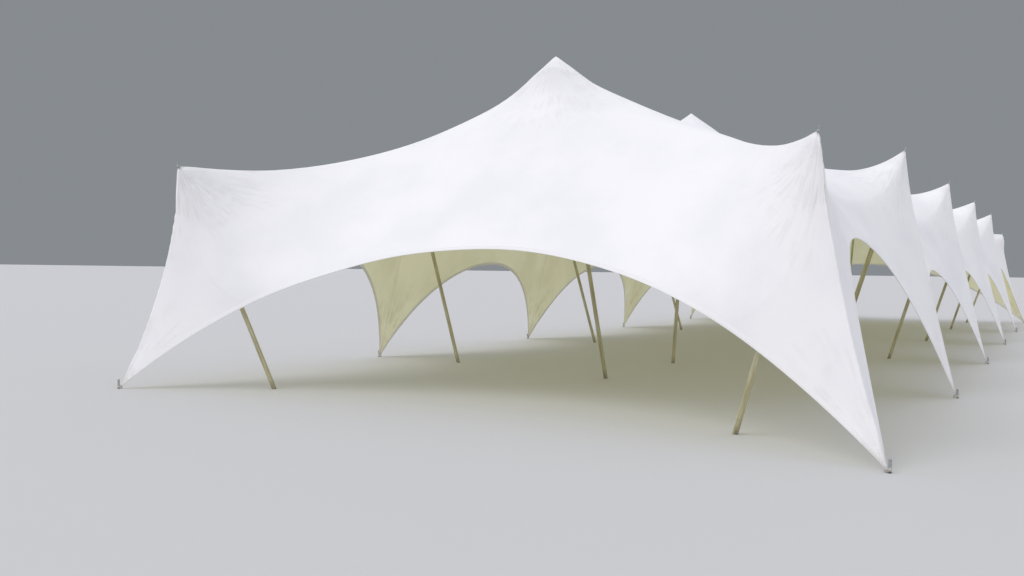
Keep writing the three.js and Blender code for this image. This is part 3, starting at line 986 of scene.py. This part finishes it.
def canvas_material(name, plain, shaded, dirt, fold_shade, glow=0.0):
    material, tree, shader = start_material(name)
    place, cells = mesh_place(tree), mesh_place(tree, "cells")
    offset = put(tree, "ShaderNodeAttribute", attribute_name="from_pulled").outputs["Vector"]
    share = put(tree, "ShaderNodeAttribute", attribute_name="crease_share").outputs["Fac"]
    along_cells = put(tree, "ShaderNodeSeparateXYZ", {0: cells}).outputs
    seam = use_group(tree, stitched_line, {"From line": from_seam(tree, along_cells[1]),
                                           "Along": along_cells[0], "Relief": SEAM_RELIEF})
    threads = use_group(tree, weave, {"Cloth place": cells, "Threads per metre": 260.0,
                                      "Relief": WEAVE_RELIEF})
    folds = use_group(tree, fine_creases, {"Offset": offset, "Share": share,
                                           "Relief": FOLD_RELIEF})
    mottle = noise(tree, place, CLOUDS, 3.0)
    clouded = blend_colours(tree, remap(tree, mottle, *CLOUD_EDGES), plain, shaded)
    sewn = blend_colours(tree, sums(tree, "MULTIPLY", seam["Thread"], THREAD_SHADE), clouded,
                         shaded)
    # Painted shade in the creases: the folds are darkened towards the dirt colour, as much as
    # fold_shade allows.
    painted_fold_shade = remap(tree, folds["Height"], 0.0, FOLD_RELIEF, 0.0, fold_shade)
    creased = blend_colours(tree, painted_fold_shade, sewn, dirt)
    soiled = use_group(tree, soiling, {"Place": place})
    colour = blend_colours(tree, soiled["Mask"], creased, dirt)
    dents = sums(tree, "MULTIPLY", noise(tree, place, DENTS, 3.0), DENT_RELIEF)
    height = sums(tree, "ADD", threads["Height"], folds["Height"], seam["Height"], dents)
    finish_surface(tree, shader, height, {
        "Base Color": colour,
        "Roughness": remap(tree, mottle, *NOISE_RANGE, *CANVAS_ROUGHNESS),
        "Sheen Weight": SHEEN})
    if glow:
        fill(tree, shader, {"Emission Color": colour, "Emission Strength": glow})
    return material


outside_canvas = canvas_material("canvas_outside", **OUTSIDE)
inside_canvas = canvas_material("canvas_inside", **INSIDE)
print("canvas:", outside_canvas.name, inside_canvas.name)

# %% [markdown]
# ## Making a piece
# A mesh can be made in code from a list of points and a list of faces. Every piece of the tent
# rides on the one body of the model, because nothing on it moves, and gets the materials that it
# is given.

# %% Piece tools
def new_piece(name, vertices, faces, materials):
    mesh = bpy.data.meshes.new(name)
    mesh.from_pydata(np.asarray(vertices).tolist(), [], faces)
    mesh.update()
    piece = bpy.data.objects.new(name, mesh)
    bpy.context.scene.collection.objects.link(piece)
    for material in materials:
        mesh.materials.append(material)
    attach(piece, "root")
    return piece


def set_uv(mesh, name, vertex_uv):
    """A UV map from one pair of numbers for each vertex."""
    corners = np.zeros(len(mesh.loops), int)
    mesh.loops.foreach_get("vertex_index", corners)
    layer = mesh.uv_layers.new(name=name)
    layer.data.foreach_set("uv", np.asarray(vertex_uv)[corners].astype(np.float32).ravel())


def set_attribute(mesh, name, kind, field, values):
    """An attribute of the points of a shell, the same on its outer and its inner face."""
    attribute = mesh.attributes.new(name, kind, "POINT")
    both = np.concatenate([values, values]).astype(np.float32)
    attribute.data.foreach_set(field, both.ravel())


print("piece tools ready")

# %% [markdown]
# ## The five bays
# Each bay is a thin closed shell: the outer face, the inner face and a rim between them. The
# shading normals are taken from the whole grid, so no line shows where one bay ends and the next
# begins. The inner face gets its own material slot. Each cell is cut into two triangles along the
# way that the folds run.

# %% Bays of the canopy
CANVAS_THICKNESS = 0.003
JOIN_GAP = 0.0002


def rising_diagonals(first):
    """Cells whose diagonal runs the way of the corner legs and the lines between peaks."""
    across, along = np.meshgrid(np.arange(ACROSS * PARTS) // PARTS,
                                np.arange(ALONG * PARTS) // PARTS, indexing="ij")
    bay = np.clip((along - LEG_CELLS) // BAY_CELLS, 0, BAYS - 1)
    in_near_half = along < LEG_CELLS + BAY_CELLS * bay + HALF_BAY
    return (in_near_half == (across < MIDDLE))[:, first]


def shell_faces(number, rising):
    """Outer, inner and rim faces over a block of numbered points, facing outward."""
    count = number.size
    a, b, c, d = number[:-1, :-1], number[:-1, 1:], number[1:, 1:], number[1:, :-1]
    one = np.where(rising[..., None], np.stack([a, b, c], -1), np.stack([b, c, d], -1))
    two = np.where(rising[..., None], np.stack([a, c, d], -1), np.stack([b, d, a], -1))
    outer = np.concatenate([one.reshape(-1, 3), two.reshape(-1, 3)])
    rim = np.concatenate([number[0, :-1], number[:-1, -1], number[-1, :0:-1], number[:0:-1, 0]])
    following = np.roll(rim, -1)
    edge = np.stack([rim, rim + count, following + count, following], -1)
    return outer, outer[:, ::-1] + count, edge


def canopy_bay(bay):
    first, last = leg_row(bay) * PARTS, leg_row(bay + 1) * PARTS
    rows = slice(first, last + 1)
    places, normals = cloth_places[:, rows].copy(), cloth_normals[:, rows]
    for here, inside, is_joined in ((0, 1, bay > 0), (-1, -2, bay < BAYS - 1)):
        if is_joined:
            places[:, here] += JOIN_GAP * unit(places[:, inside] - places[:, here])
    half = normals * CANVAS_THICKNESS / 2
    vertices = np.concatenate([(places + half).reshape(-1, 3), (places - half).reshape(-1, 3)])
    outer, inner, edge = shell_faces(np.arange(places[..., 0].size).reshape(places.shape[:2]),
                                     rising_diagonals(slice(first, last)))
    piece = new_piece(f"canopy_cloth_{bay + 1}", vertices,
                      outer.tolist() + inner.tolist() + edge.tolist(),
                      (outside_canvas, inside_canvas))
    mesh = piece.data
    face_slots = np.zeros(len(mesh.polygons), int)
    face_slots[len(outer):len(outer) + len(inner)] = 1
    mesh.polygons.foreach_set("material_index", face_slots)
    cells = np.stack([s_grid[:, rows], t_grid[:, rows]], -1).reshape(-1, 2)
    set_uv(mesh, "cells", np.concatenate([cells, cells]))
    set_attribute(mesh, "from_pulled", "FLOAT_VECTOR", "vector",
                  pulled_offset[:, rows].reshape(-1, 3))
    set_attribute(mesh, "crease_share", "FLOAT", "value", crease_share[:, rows].ravel())
    mesh.shade_smooth()
    flat_normals = normals.reshape(-1, 3)
    mesh.normals_split_custom_set_from_vertices(np.concatenate([flat_normals, -flat_normals]))
    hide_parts(f"canopy_bay_{bay + 1}")
    return piece


bays = [canopy_bay(bay) for bay in range(BAYS)]
print("bays:", [(bay.name, len(bay.data.polygons)) for bay in bays])

# %% [markdown]
# ## Canvas of the hems
# A hem is the same canvas folded over, a little greyer because it is handled and walked past. Its
# stitches run along the strip, so the material reads its place along and across the strip from a
# UV map in metres. The cloth puckers between the stitches.

# %% Hem material
HEM_COLOUR, HEM_THREAD, HEM_DIRT = (0.90, 0.895, 0.885), (0.74, 0.73, 0.72), (0.40, 0.36, 0.28)
STITCH_LINE, STITCH_HALF_WIDTH, STITCH_RELIEF = 0.027, 0.013, 0.0009
PUCKERS, PUCKER_RELIEF = 45.0, 0.0012
HEM_CLOUDS, HEM_ROUGHNESS, HEM_THREAD_SHADE = 5.0, (0.6, 0.8), 0.5


def hem_material():
    material, tree, shader = start_material("hem_canvas")
    place, strip_place = mesh_place(tree), mesh_place(tree, "strip")
    parts = put(tree, "ShaderNodeSeparateXYZ", {0: strip_place}).outputs
    line = use_group(tree, stitched_line, {
        "From line": sums(tree, "SUBTRACT", parts[1], STITCH_LINE), "Along": parts[0],
        "Half width": STITCH_HALF_WIDTH, "Relief": STITCH_RELIEF})
    threads = use_group(tree, weave, {"Cloth place": strip_place, "Threads per metre": 420.0,
                                      "Relief": WEAVE_RELIEF})
    dirt = use_group(tree, soiling, {"Place": place, "Up to": 0.4, "Strength": 0.6})
    thread = sums(tree, "MULTIPLY", line["Thread"], HEM_THREAD_SHADE)
    sewn = blend_colours(tree, thread, HEM_COLOUR, HEM_THREAD)
    puckers = sums(tree, "MULTIPLY", noise(tree, strip_place, PUCKERS), PUCKER_RELIEF)
    height = sums(tree, "ADD", line["Height"], threads["Height"], puckers)
    finish_surface(tree, shader, height, {
        "Base Color": blend_colours(tree, dirt["Mask"], sewn, HEM_DIRT),
        "Roughness": remap(tree, noise(tree, place, HEM_CLOUDS), *NOISE_RANGE, *HEM_ROUGHNESS),
        "Sheen Weight": SHEEN})
    return material


hem_canvas = hem_material()
print("material:", hem_canvas.name)

# %% [markdown]
# ## Hems
# Every free edge of the canopy is folded over and sewn, with a cable inside that takes the pull.
# A modifier could thicken the edge, but a strip of its own gets its own stitches. Its cross
# section is a flat loop round the edge of the cloth, and it is carried along one arch at a time.
# At the leg tips two strips meet, so they get narrower there.

# %% Hems
HEM_PROFILE = ((-0.0050, 0.0), (-0.0035, 0.0040), (0.0040, 0.0052), (0.0100, 0.0036),
               (0.0440, 0.0034), (0.0480, 0.0020), (0.0480, -0.0020), (0.0440, -0.0034),
               (0.0100, -0.0036), (0.0040, -0.0052), (-0.0035, -0.0040))
HEM_TAPER, NARROWEST = 0.45, 0.12
LOWEST_CLOTH = 0.001


def without(vectors, direction):
    """The vectors less their part along a direction."""
    return vectors - np.sum(vectors * direction, -1, keepdims=True) * direction


def strip(name, line, towards, normals, profile, taper=0.0):
    """A closed strip along a line of the cloth, with its width towards the cloth."""
    ahead_line = unit(np.gradient(line, axis=0))
    across = unit(without(without(towards, ahead_line), normals))
    steps = np.linalg.norm(np.diff(line, axis=0), axis=1)
    run = np.concatenate([[0], np.cumsum(steps)])
    width = np.ones(len(run))
    if taper:
        to_end = np.minimum(run, run[-1] - run) / taper
        width = NARROWEST + (1 - NARROWEST) * np.clip(to_end, 0, 1)
    vertices, uvs = [], []
    for out, high in profile:
        reach = out * width if out > 0 else np.full(len(run), out)
        places = line + across * reach[:, None] + normals * high
        places[:, 2] = np.maximum(places[:, 2], LOWEST_CLOTH)
        vertices.append(places)
        uvs.append(np.stack([run, np.full(len(run), out)], -1))
    number = np.arange(len(run) * len(profile)).reshape(len(run), len(profile))
    following = np.roll(number, -1, axis=1)
    quads = np.stack([number[:-1], number[1:], following[1:], following[:-1]], -1).reshape(-1, 4)
    faces = quads.tolist() + [number[0].tolist(), number[-1][::-1].tolist()]
    if np.sum(np.cross(ahead_line[0], across[0]) * normals[0]) < 0:
        faces = [face[::-1] for face in faces]
    piece = new_piece(name, np.stack(vertices, 1).reshape(-1, 3), faces, (hem_canvas,))
    set_uv(piece.data, "strip", np.stack(uvs, 1).reshape(-1, 2))
    piece.data.shade_smooth()
    return piece


def free_edges():
    """Name and bay of every free edge, with the grid points on it and the next ones inside."""
    every = slice(None)
    yield "hem_front", 0, (every, 0), (every, 1)
    yield "hem_back", BAYS - 1, (every, -1), (every, -2)
    for side, column, inside in (("right", 0, 1), ("left", -1, -2)):
        for bay in range(BAYS):
            rows = slice(leg_row(bay) * PARTS, leg_row(bay + 1) * PARTS + 1)
            yield f"hem_{side}_{bay + 1}", bay, (column, rows), (inside, rows)


hems = {bay: [] for bay in range(BAYS)}
for name, bay, edge, inside in free_edges():
    towards = cloth_places[inside] - cloth_places[edge]
    hems[bay].append(strip(name, cloth_places[edge], towards, cloth_normals[edge], HEM_PROFILE,
                           taper=HEM_TAPER))
print("hems:", sum(len(pieces) for pieces in hems.values()))

# %% [markdown]
# ## Bands over the joins between bays
# The join between two bays runs from tip to tip over two side peaks and through the valley. It is
# a flat felled seam: both edges are folded into each other, so it stands a little proud.

# %% Seam bands
SEAM_PROFILE = ((-0.0130, 0.0018), (-0.0115, 0.0027), (0.0115, 0.0027), (0.0130, 0.0018),
                (0.0130, -0.0018), (0.0115, -0.0027), (-0.0115, -0.0027), (-0.0130, -0.0018))


def seam_band(line_number):
    row = leg_row(line_number) * PARTS
    towards = cloth_places[:, row + 1] - cloth_places[:, row - 1]
    return strip(f"seam_band_{line_number}", cloth_places[:, row], towards,
                 cloth_normals[:, row], SEAM_PROFILE)


seam_bands = {line: seam_band(line) for line in range(1, BAYS)}
print("seam bands:", len(seam_bands))

# %% [markdown]
# ## Grain of the timber
# The grain of a pole runs along it. Noise that is stretched along the pole gives streaks, and a
# finer one gives the pores. A third, broader noise is the mask for places where the varnish has
# gone. All three are read on a map that unrolls the pole flat, so they don't swim through it.

# %% Timber grain group
STREAKS, PORES, RUBBED = (90.0, 3.2, 1.0), (420.0, 14.0, 1.0), (14.0, 1.7, 1.0)
DARK_EDGES, RUBBED_EDGES = (0.38, 0.68), (0.52, 0.72)


def timber_grain_group():
    """Long streaks along the pole, with pores and places where the varnish has gone."""
    group, given, out = start_group("timber grain", [
        ("Turned place", VECTOR, (0, 0, 0)), ("Streaks", NUMBER, 1.0),
        ("Relief", NUMBER, 0.0004)], ["Dark", "Worn", "Height"])

    def stretched(scale, detail):
        mapped = put(group, "ShaderNodeMapping", {"Vector": given["Turned place"],
                                                  "Scale": scale}).outputs[0]
        return noise(group, mapped, 1.0, detail)

    streaks, pores = stretched(STREAKS, 4.0), stretched(PORES, 2.0)
    fill(group, out, {
        "Dark": sums(group, "MULTIPLY", remap(group, streaks, *DARK_EDGES), given["Streaks"]),
        "Worn": remap(group, stretched(RUBBED, 5.0), *RUBBED_EDGES),
        "Height": sums(group, "MULTIPLY", sums(group, "ADD", streaks, pores), given["Relief"])})
    return group


timber_grain = timber_grain_group()
print("group:", timber_grain.name)

# %% [markdown]
# ## Timber of the poles
# The poles are softwood with a thin coat of varnish, greenish yellow in the shade of the cloth.
# Where the coat is rubbed off the wood is paler and duller. The feet have stood in wet ground.

# %% Timber material
TIMBER, DARK_TIMBER, BARE_TIMBER = (0.55, 0.52, 0.33), (0.36, 0.32, 0.18), (0.62, 0.60, 0.46)
FOOT_DIRT = (0.13, 0.10, 0.06)
VARNISHED, BARE = 0.42, 0.66


def timber_material():
    material, tree, shader = start_material("pole_timber")
    grain = use_group(tree, timber_grain, {"Turned place": mesh_place(tree, "turned")})
    dirt = use_group(tree, soiling, {"Place": mesh_place(tree), "Up to": 0.22, "Strength": 0.7})
    wood = blend_colours(tree, grain["Dark"], TIMBER, DARK_TIMBER)
    worn = blend_colours(tree, grain["Worn"], wood, BARE_TIMBER)
    finish_surface(tree, shader, grain["Height"], {
        "Base Color": blend_colours(tree, dirt["Mask"], worn, FOOT_DIRT),
        "Roughness": remap(tree, grain["Worn"], 0.0, 1.0, VARNISHED, BARE)})
    return material


pole_timber = timber_material()
print("material:", pole_timber.name)

# %% [markdown]
# ## Turned pieces
# Poles, stakes and pins are all round, so one function turns them, as on a lathe, from a list of
# distances along the axis and radii there. A Screw modifier could do the same, but this way the
# foot can be cut level while the pole leans, and the map for the grain comes with the mesh.

# %% Turned pieces
FOOT_RING_STEP = 0.0008


def turned_piece(name, foot, axis, profile, sides, materials, level_foot=True):
    """A round piece along an axis, from distance and radius pairs."""
    along = Vector(axis).normalized()
    sideways = Vector((0, 1, 0)).cross(along).normalized()
    forwards = along.cross(sideways)
    vertices, uvs = [], []
    for ring, (distance, radius) in enumerate(profile):
        for k in range(sides + 1):
            angle = 2 * math.pi * k / sides
            point = (Vector(foot) + along * distance
                     + (sideways * math.cos(angle) + forwards * math.sin(angle)) * radius)
            lowest = ring * FOOT_RING_STEP
            if level_foot and (ring == 0 or point.z < lowest):
                point += along * ((lowest - point.z) / along.z)
            if k < sides:
                vertices.append(point[:])
            uvs.append((angle * POLE_RADIUS, distance))
    faces, corner_uvs = [], []
    for ring in range(len(profile) - 1):
        for k in range(sides):
            low, high, following = ring * sides, (ring + 1) * sides, (k + 1) % sides
            faces.append([low + k, low + following, high + following, high + k])
            first = ring * (sides + 1) + k
            corner_uvs += [uvs[first], uvs[first + 1], uvs[first + sides + 2],
                           uvs[first + sides + 1]]
    last = (len(profile) - 1) * sides
    faces += [list(range(sides))[::-1], list(range(last, last + sides))]
    corner_uvs += [uvs[0]] * sides + [uvs[-1]] * sides
    piece = new_piece(name, vertices, faces, materials)
    layer = piece.data.uv_layers.new(name="turned")
    layer.data.foreach_set("uv", np.array(corner_uvs, np.float32).ravel())
    piece.data.shade_smooth()
    for cap in piece.data.polygons[-2:]:
        cap.use_smooth = False
    return piece


print("turning tool ready")

# %% [markdown]
# ## Poles
# The poles are round timber, thicker than a wrist, and tapered at the head to fit the peak. The
# foot is cut to stand level although the pole leans, so its first ring is slid along the axis
# down to the floor. The solid model gives the length; the turned shape here adds soft edges and
# many more sides.

# %% Poles
POLE_SIDES = 32
HEAD_CLEARANCE = 0.010
RING_STEP, PLAIN_END = 0.25, 0.08
FOOT_EDGE = ((0, -0.003), (0.004, -0.001), (0.009, 0))
SHOULDER_EDGE = ((-0.03, 0), (-0.01, -0.0003), (0.012, -0.0018))
HEAD_EDGE = ((-0.003, 0.0002), (0, -0.002))


def profile_part(start, radius, edge):
    return [(start + step, radius + wider) for step, wider in edge]


def pole_profile(reach):
    reach -= HEAD_CLEARANCE
    shoulder = reach - POLE_SHOULDER
    plain = np.arange(RING_STEP, shoulder - PLAIN_END, RING_STEP)
    return (profile_part(0, POLE_RADIUS, FOOT_EDGE)
            + [(distance, POLE_RADIUS) for distance in plain]
            + profile_part(shoulder, POLE_RADIUS, SHOULDER_EDGE)
            + profile_part(reach, POLE_PIN_RADIUS, HEAD_EDGE))


poles = {}
for node, (foot, axis, reach) in pole_lines.items():
    poles[node] = turned_piece(f"timber_{node}", foot, axis, pole_profile(reach), POLE_SIDES,
                               (pole_timber,))
    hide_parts(node)
print("poles:", len(poles))

# %% [markdown]
# ## Sheets of cloth
# Each bay has the size that it was cut to before it was pulled tight. Here each bay only gets
# that size and the names of the poles that it rests on. The cut isn't a rectangle, so the area is
# given too. It is a little less than the area of the tight cloth, because the cloth stretches.

END_CUT, INNER_CUT = (8.0, 65.0), (5.7, 62.0)

for bay in range(BAYS):
    cut_length, cut_area = END_CUT if bay in (0, BAYS - 1) else INNER_CUT
    resting = [poles[f"centre_pole_{bay + 1}"].name]
    for name in ("right", "left"):
        resting += [poles[f"{name}_pole_{line + 1}"].name for line in (bay, bay + 1)]
print("sheets:", BAYS)

# %% [markdown]
# ## Steel
# Stakes and pins are plain zinc-grey steel. The zinc is mottled, and it is dull and brown where
# it has been hammered or has stood in soil.

# %% Steel material
ZINC, DARK_ZINC, RUST, STEEL_DIRT = ((0.50, 0.52, 0.53), (0.36, 0.38, 0.39), (0.20, 0.10, 0.05),
                                     (0.12, 0.09, 0.06))
SPANGLES, SPANGLE_EDGES = 160.0, (0.35, 0.65)
RUST_SPOTS, RUST_EDGES, RUST_SHARE = 55.0, (0.58, 0.74), 0.7
STEEL_GRIT, GRIT_RELIEF = 240.0, 0.0005
STEEL_ROUGHNESS, RUSTY_METALLIC = (0.35, 0.55), 0.15


def steel_material():
    material, tree, shader = start_material("zinc_steel", metallic=1.0)
    place = mesh_place(tree)
    spangle = remap(tree, noise(tree, place, SPANGLES, 3.0), *SPANGLE_EDGES)
    rust = remap(tree, noise(tree, place, RUST_SPOTS, 5.0), *RUST_EDGES)
    dirt = use_group(tree, soiling, {"Place": place, "Up to": 0.06, "Strength": 0.8})
    zinc = blend_colours(tree, spangle, ZINC, DARK_ZINC)
    aged = blend_colours(tree, sums(tree, "MULTIPLY", rust, RUST_SHARE), zinc, RUST)
    height = sums(tree, "MULTIPLY", noise(tree, place, STEEL_GRIT), GRIT_RELIEF)
    finish_surface(tree, shader, height, {
        "Base Color": blend_colours(tree, dirt["Mask"], aged, STEEL_DIRT),
        "Metallic": remap(tree, rust, 0.0, 1.0, 1.0, RUSTY_METALLIC),
        "Roughness": remap(tree, spangle, 0.0, 1.0, *STEEL_ROUGHNESS)})
    return material


zinc_steel = steel_material()
print("steel:", zinc_steel.name)

# %% [markdown]
# ## Stakes
# A stake is a round bar driven in outside each leg tip. Only its head shows above the ground. The
# top has been hammered, so it is rounded over and slightly mushroomed.

# %% Stakes
STAKE_RADIUS, STAKE_SIDES = 0.014, 28
STAKE_EDGE = ((0, 0), (0.03, 0), (0.085, 0), (0.102, -0.0004), (0.110, 0.0008), (0.1165, 0.0012),
              (0.120, -0.0005), (0.1225, -0.003), (0.124, -0.007))

stake_centres = {}
for name, side, line in EDGE_LINES:
    node = f"{name}_stake_{line + 1}"
    low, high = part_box(node)
    centre = Vector(((low.x + high.x) / 2, (low.y + high.y) / 2, 0))
    stake_centres[name, side, line] = centre
    piece = turned_piece(f"steel_{node}", centre, (0, 0, 1),
                         profile_part(0, STAKE_RADIUS, STAKE_EDGE), STAKE_SIDES,
                         (zinc_steel,))
    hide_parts(node)
print("stakes:", len(stake_centres))

# %% [markdown]
# ## Webbing
# The webbing is a coarse flat weave of pale grey yarn. It takes the same weave group as the
# canvas, with a stronger relief. It lies close to the ground, so much of it is soiled.

# %% Webbing material
WEBBING, DARK_WEBBING, WEBBING_DIRT = (0.74, 0.73, 0.70), (0.62, 0.60, 0.56), (0.26, 0.21, 0.15)
YARN_SHADES = 90.0


def webbing_material():
    material, tree, shader = start_material("webbing", roughness=0.8)
    place = mesh_place(tree)
    threads = use_group(tree, weave, {"Cloth place": mesh_place(tree, "strip"),
                                      "Threads per metre": 700.0, "Relief": 0.0005})
    dirt = use_group(tree, soiling, {"Place": place, "Up to": 0.09, "Strength": 0.8})
    shade = remap(tree, noise(tree, place, YARN_SHADES, 3.0), *NOISE_RANGE)
    fresh = blend_colours(tree, shade, WEBBING, DARK_WEBBING)
    finish_surface(tree, shader, threads["Height"], {
        "Base Color": blend_colours(tree, dirt["Mask"], fresh, WEBBING_DIRT)})
    return material


webbing = webbing_material()
print("material:", webbing.name)

# %% [markdown]
# ## Webbing loops
# The cloth isn't nailed to the stake: a loop of webbing sewn to the leg tip goes round it. The
# loop is a flat band on an oval, made from four points at each step: inside and outside, top and
# bottom.

# %% Webbing loops
LOOP_LENGTH, LOOP_WIDTH, LOOP_INNER = 0.034, 0.018, 0.9
LOOP_LOW, LOOP_HIGH, LOOP_RISE, WEBBING_THICKNESS = 0.010, 0.042, 0.006, 0.002
LOOP_STEPS = 40


def webbing_loop(name, tip, stake):
    outward_line = Vector((stake.x - tip.x, stake.y - tip.y, 0)).normalized()
    beside = Vector((-outward_line.y, outward_line.x, 0))
    centre = stake - outward_line * (LOOP_LENGTH - STAKE_RADIUS - WEBBING_THICKNESS)
    vertices, uvs = [], []
    for k in range(LOOP_STEPS):
        angle = 2 * math.pi * k / LOOP_STEPS
        ray = (outward_line * (LOOP_LENGTH * math.cos(angle))
               + beside * (LOOP_WIDTH * math.sin(angle)))
        for grow, z in ((1.0, LOOP_LOW), (1.0, LOOP_HIGH), (LOOP_INNER, LOOP_HIGH),
                        (LOOP_INNER, LOOP_LOW)):
            point = centre + ray * grow
            vertices.append((point.x, point.y, z + LOOP_RISE * math.cos(angle)))
            uvs.append((angle * LOOP_LENGTH, z))
    number = np.arange(LOOP_STEPS * 4).reshape(LOOP_STEPS, 4)
    ahead_ring, beside_ring = np.roll(number, -1, axis=0), np.roll(number, -1, axis=1)
    faces = np.stack([number, ahead_ring, np.roll(ahead_ring, -1, axis=1), beside_ring],
                     -1).reshape(-1, 4).tolist()
    piece = new_piece(name, vertices, faces, (webbing,))
    set_uv(piece.data, "strip", uvs)
    return piece


for (name, side, line), stake in stake_centres.items():
    webbing_loop(f"webbing_{name}_{line + 1}", Vector(leg_tip(side, line)), stake)
print("webbing loops:", len(stake_centres))

# %% [markdown]
# ## Pins at the edge peaks
# The head of each edge pole carries a thin steel pin that goes through an eyelet in the cloth and
# stands out above the peak, in line with the pole.

# %% Pins
PIN_SIDES = 20
PIN_PROFILE = ((-0.012, 0.015), (0.0, 0.016), (0.004, 0.0155), (0.006, 0.012), (0.0075, 0.0062),
               (0.012, 0.0056), (0.044, 0.0054), (0.0475, 0.0046), (0.050, 0.0022))

for name, side, line in EDGE_LINES:
    axis = pole_lines[f"{name}_pole_{line + 1}"][1]
    turned_piece(f"pin_{name}_{line + 1}", edge_peak(side, line), axis, PIN_PROFILE, PIN_SIDES,
                 (zinc_steel,), level_foot=False)
print("pins:", len(EDGE_LINES))

# %% [markdown]
# ## Floor, backdrop and light
# The floor is plain and pale, and so wide that its edge is far away from any side. A white tent
# would vanish in front of a white backdrop, so the world looks a calm grey to the camera, and only
# to the camera: the light that it gives off is nearly white. A broad sun adds a soft direction
# from the front left.

# %% Floor and light
FLOOR_RADIUS, FLOOR_SIDES, FLOOR_DROP = 500.0, 96, 0.0015
FLOOR_COLOUR = (0.60, 0.60, 0.59, 1)
SKY_LIGHT, SKY_SEEN, SKY_STRENGTH = (0.86, 0.87, 0.95), (0.27, 0.29, 0.31), 0.90
SUN_ENERGY, SUN_WIDTH, SUN_COLOUR = 0.85, math.radians(35), (1.0, 0.985, 0.96)
SUN_FROM = Vector((-0.45, -0.85, 1.0))

rim = [(FLOOR_RADIUS * math.cos(turn), FLOOR_RADIUS * math.sin(turn), -FLOOR_DROP)
       for turn in np.linspace(0, 2 * math.pi, FLOOR_SIDES, endpoint=False)]
floor_mesh = bpy.data.meshes.new("floor")
floor_mesh.from_pydata(rim, [], [range(FLOOR_SIDES)])
floor = bpy.data.objects.new("floor", floor_mesh)
bpy.context.scene.collection.objects.link(floor)
floor_material, _, floor_shader = start_material("floor", roughness=0.9)
floor_shader.inputs["Base Color"].default_value = FLOOR_COLOUR
floor_mesh.materials.append(floor_material)

world = bpy.data.worlds.new("studio")
world.use_nodes = True
bpy.context.scene.world = world
sky = world.node_tree
seen = put(sky, "ShaderNodeLightPath").outputs["Is Camera Ray"]
fill(sky, sky.nodes["Background"], {"Color": blend_colours(sky, seen, SKY_LIGHT, SKY_SEEN),
                                    "Strength": SKY_STRENGTH})

sun_data = bpy.data.lights.new("sun", "SUN")
sun_data.energy, sun_data.angle, sun_data.color = SUN_ENERGY, SUN_WIDTH, SUN_COLOUR
sun = bpy.data.objects.new("sun", sun_data)
sun.rotation_euler = SUN_FROM.to_track_quat("Z", "Y").to_euler()
bpy.context.scene.collection.objects.link(sun)
bpy.context.scene.view_settings.view_transform = "Standard"
print("light from", rounded(SUN_FROM, 2))
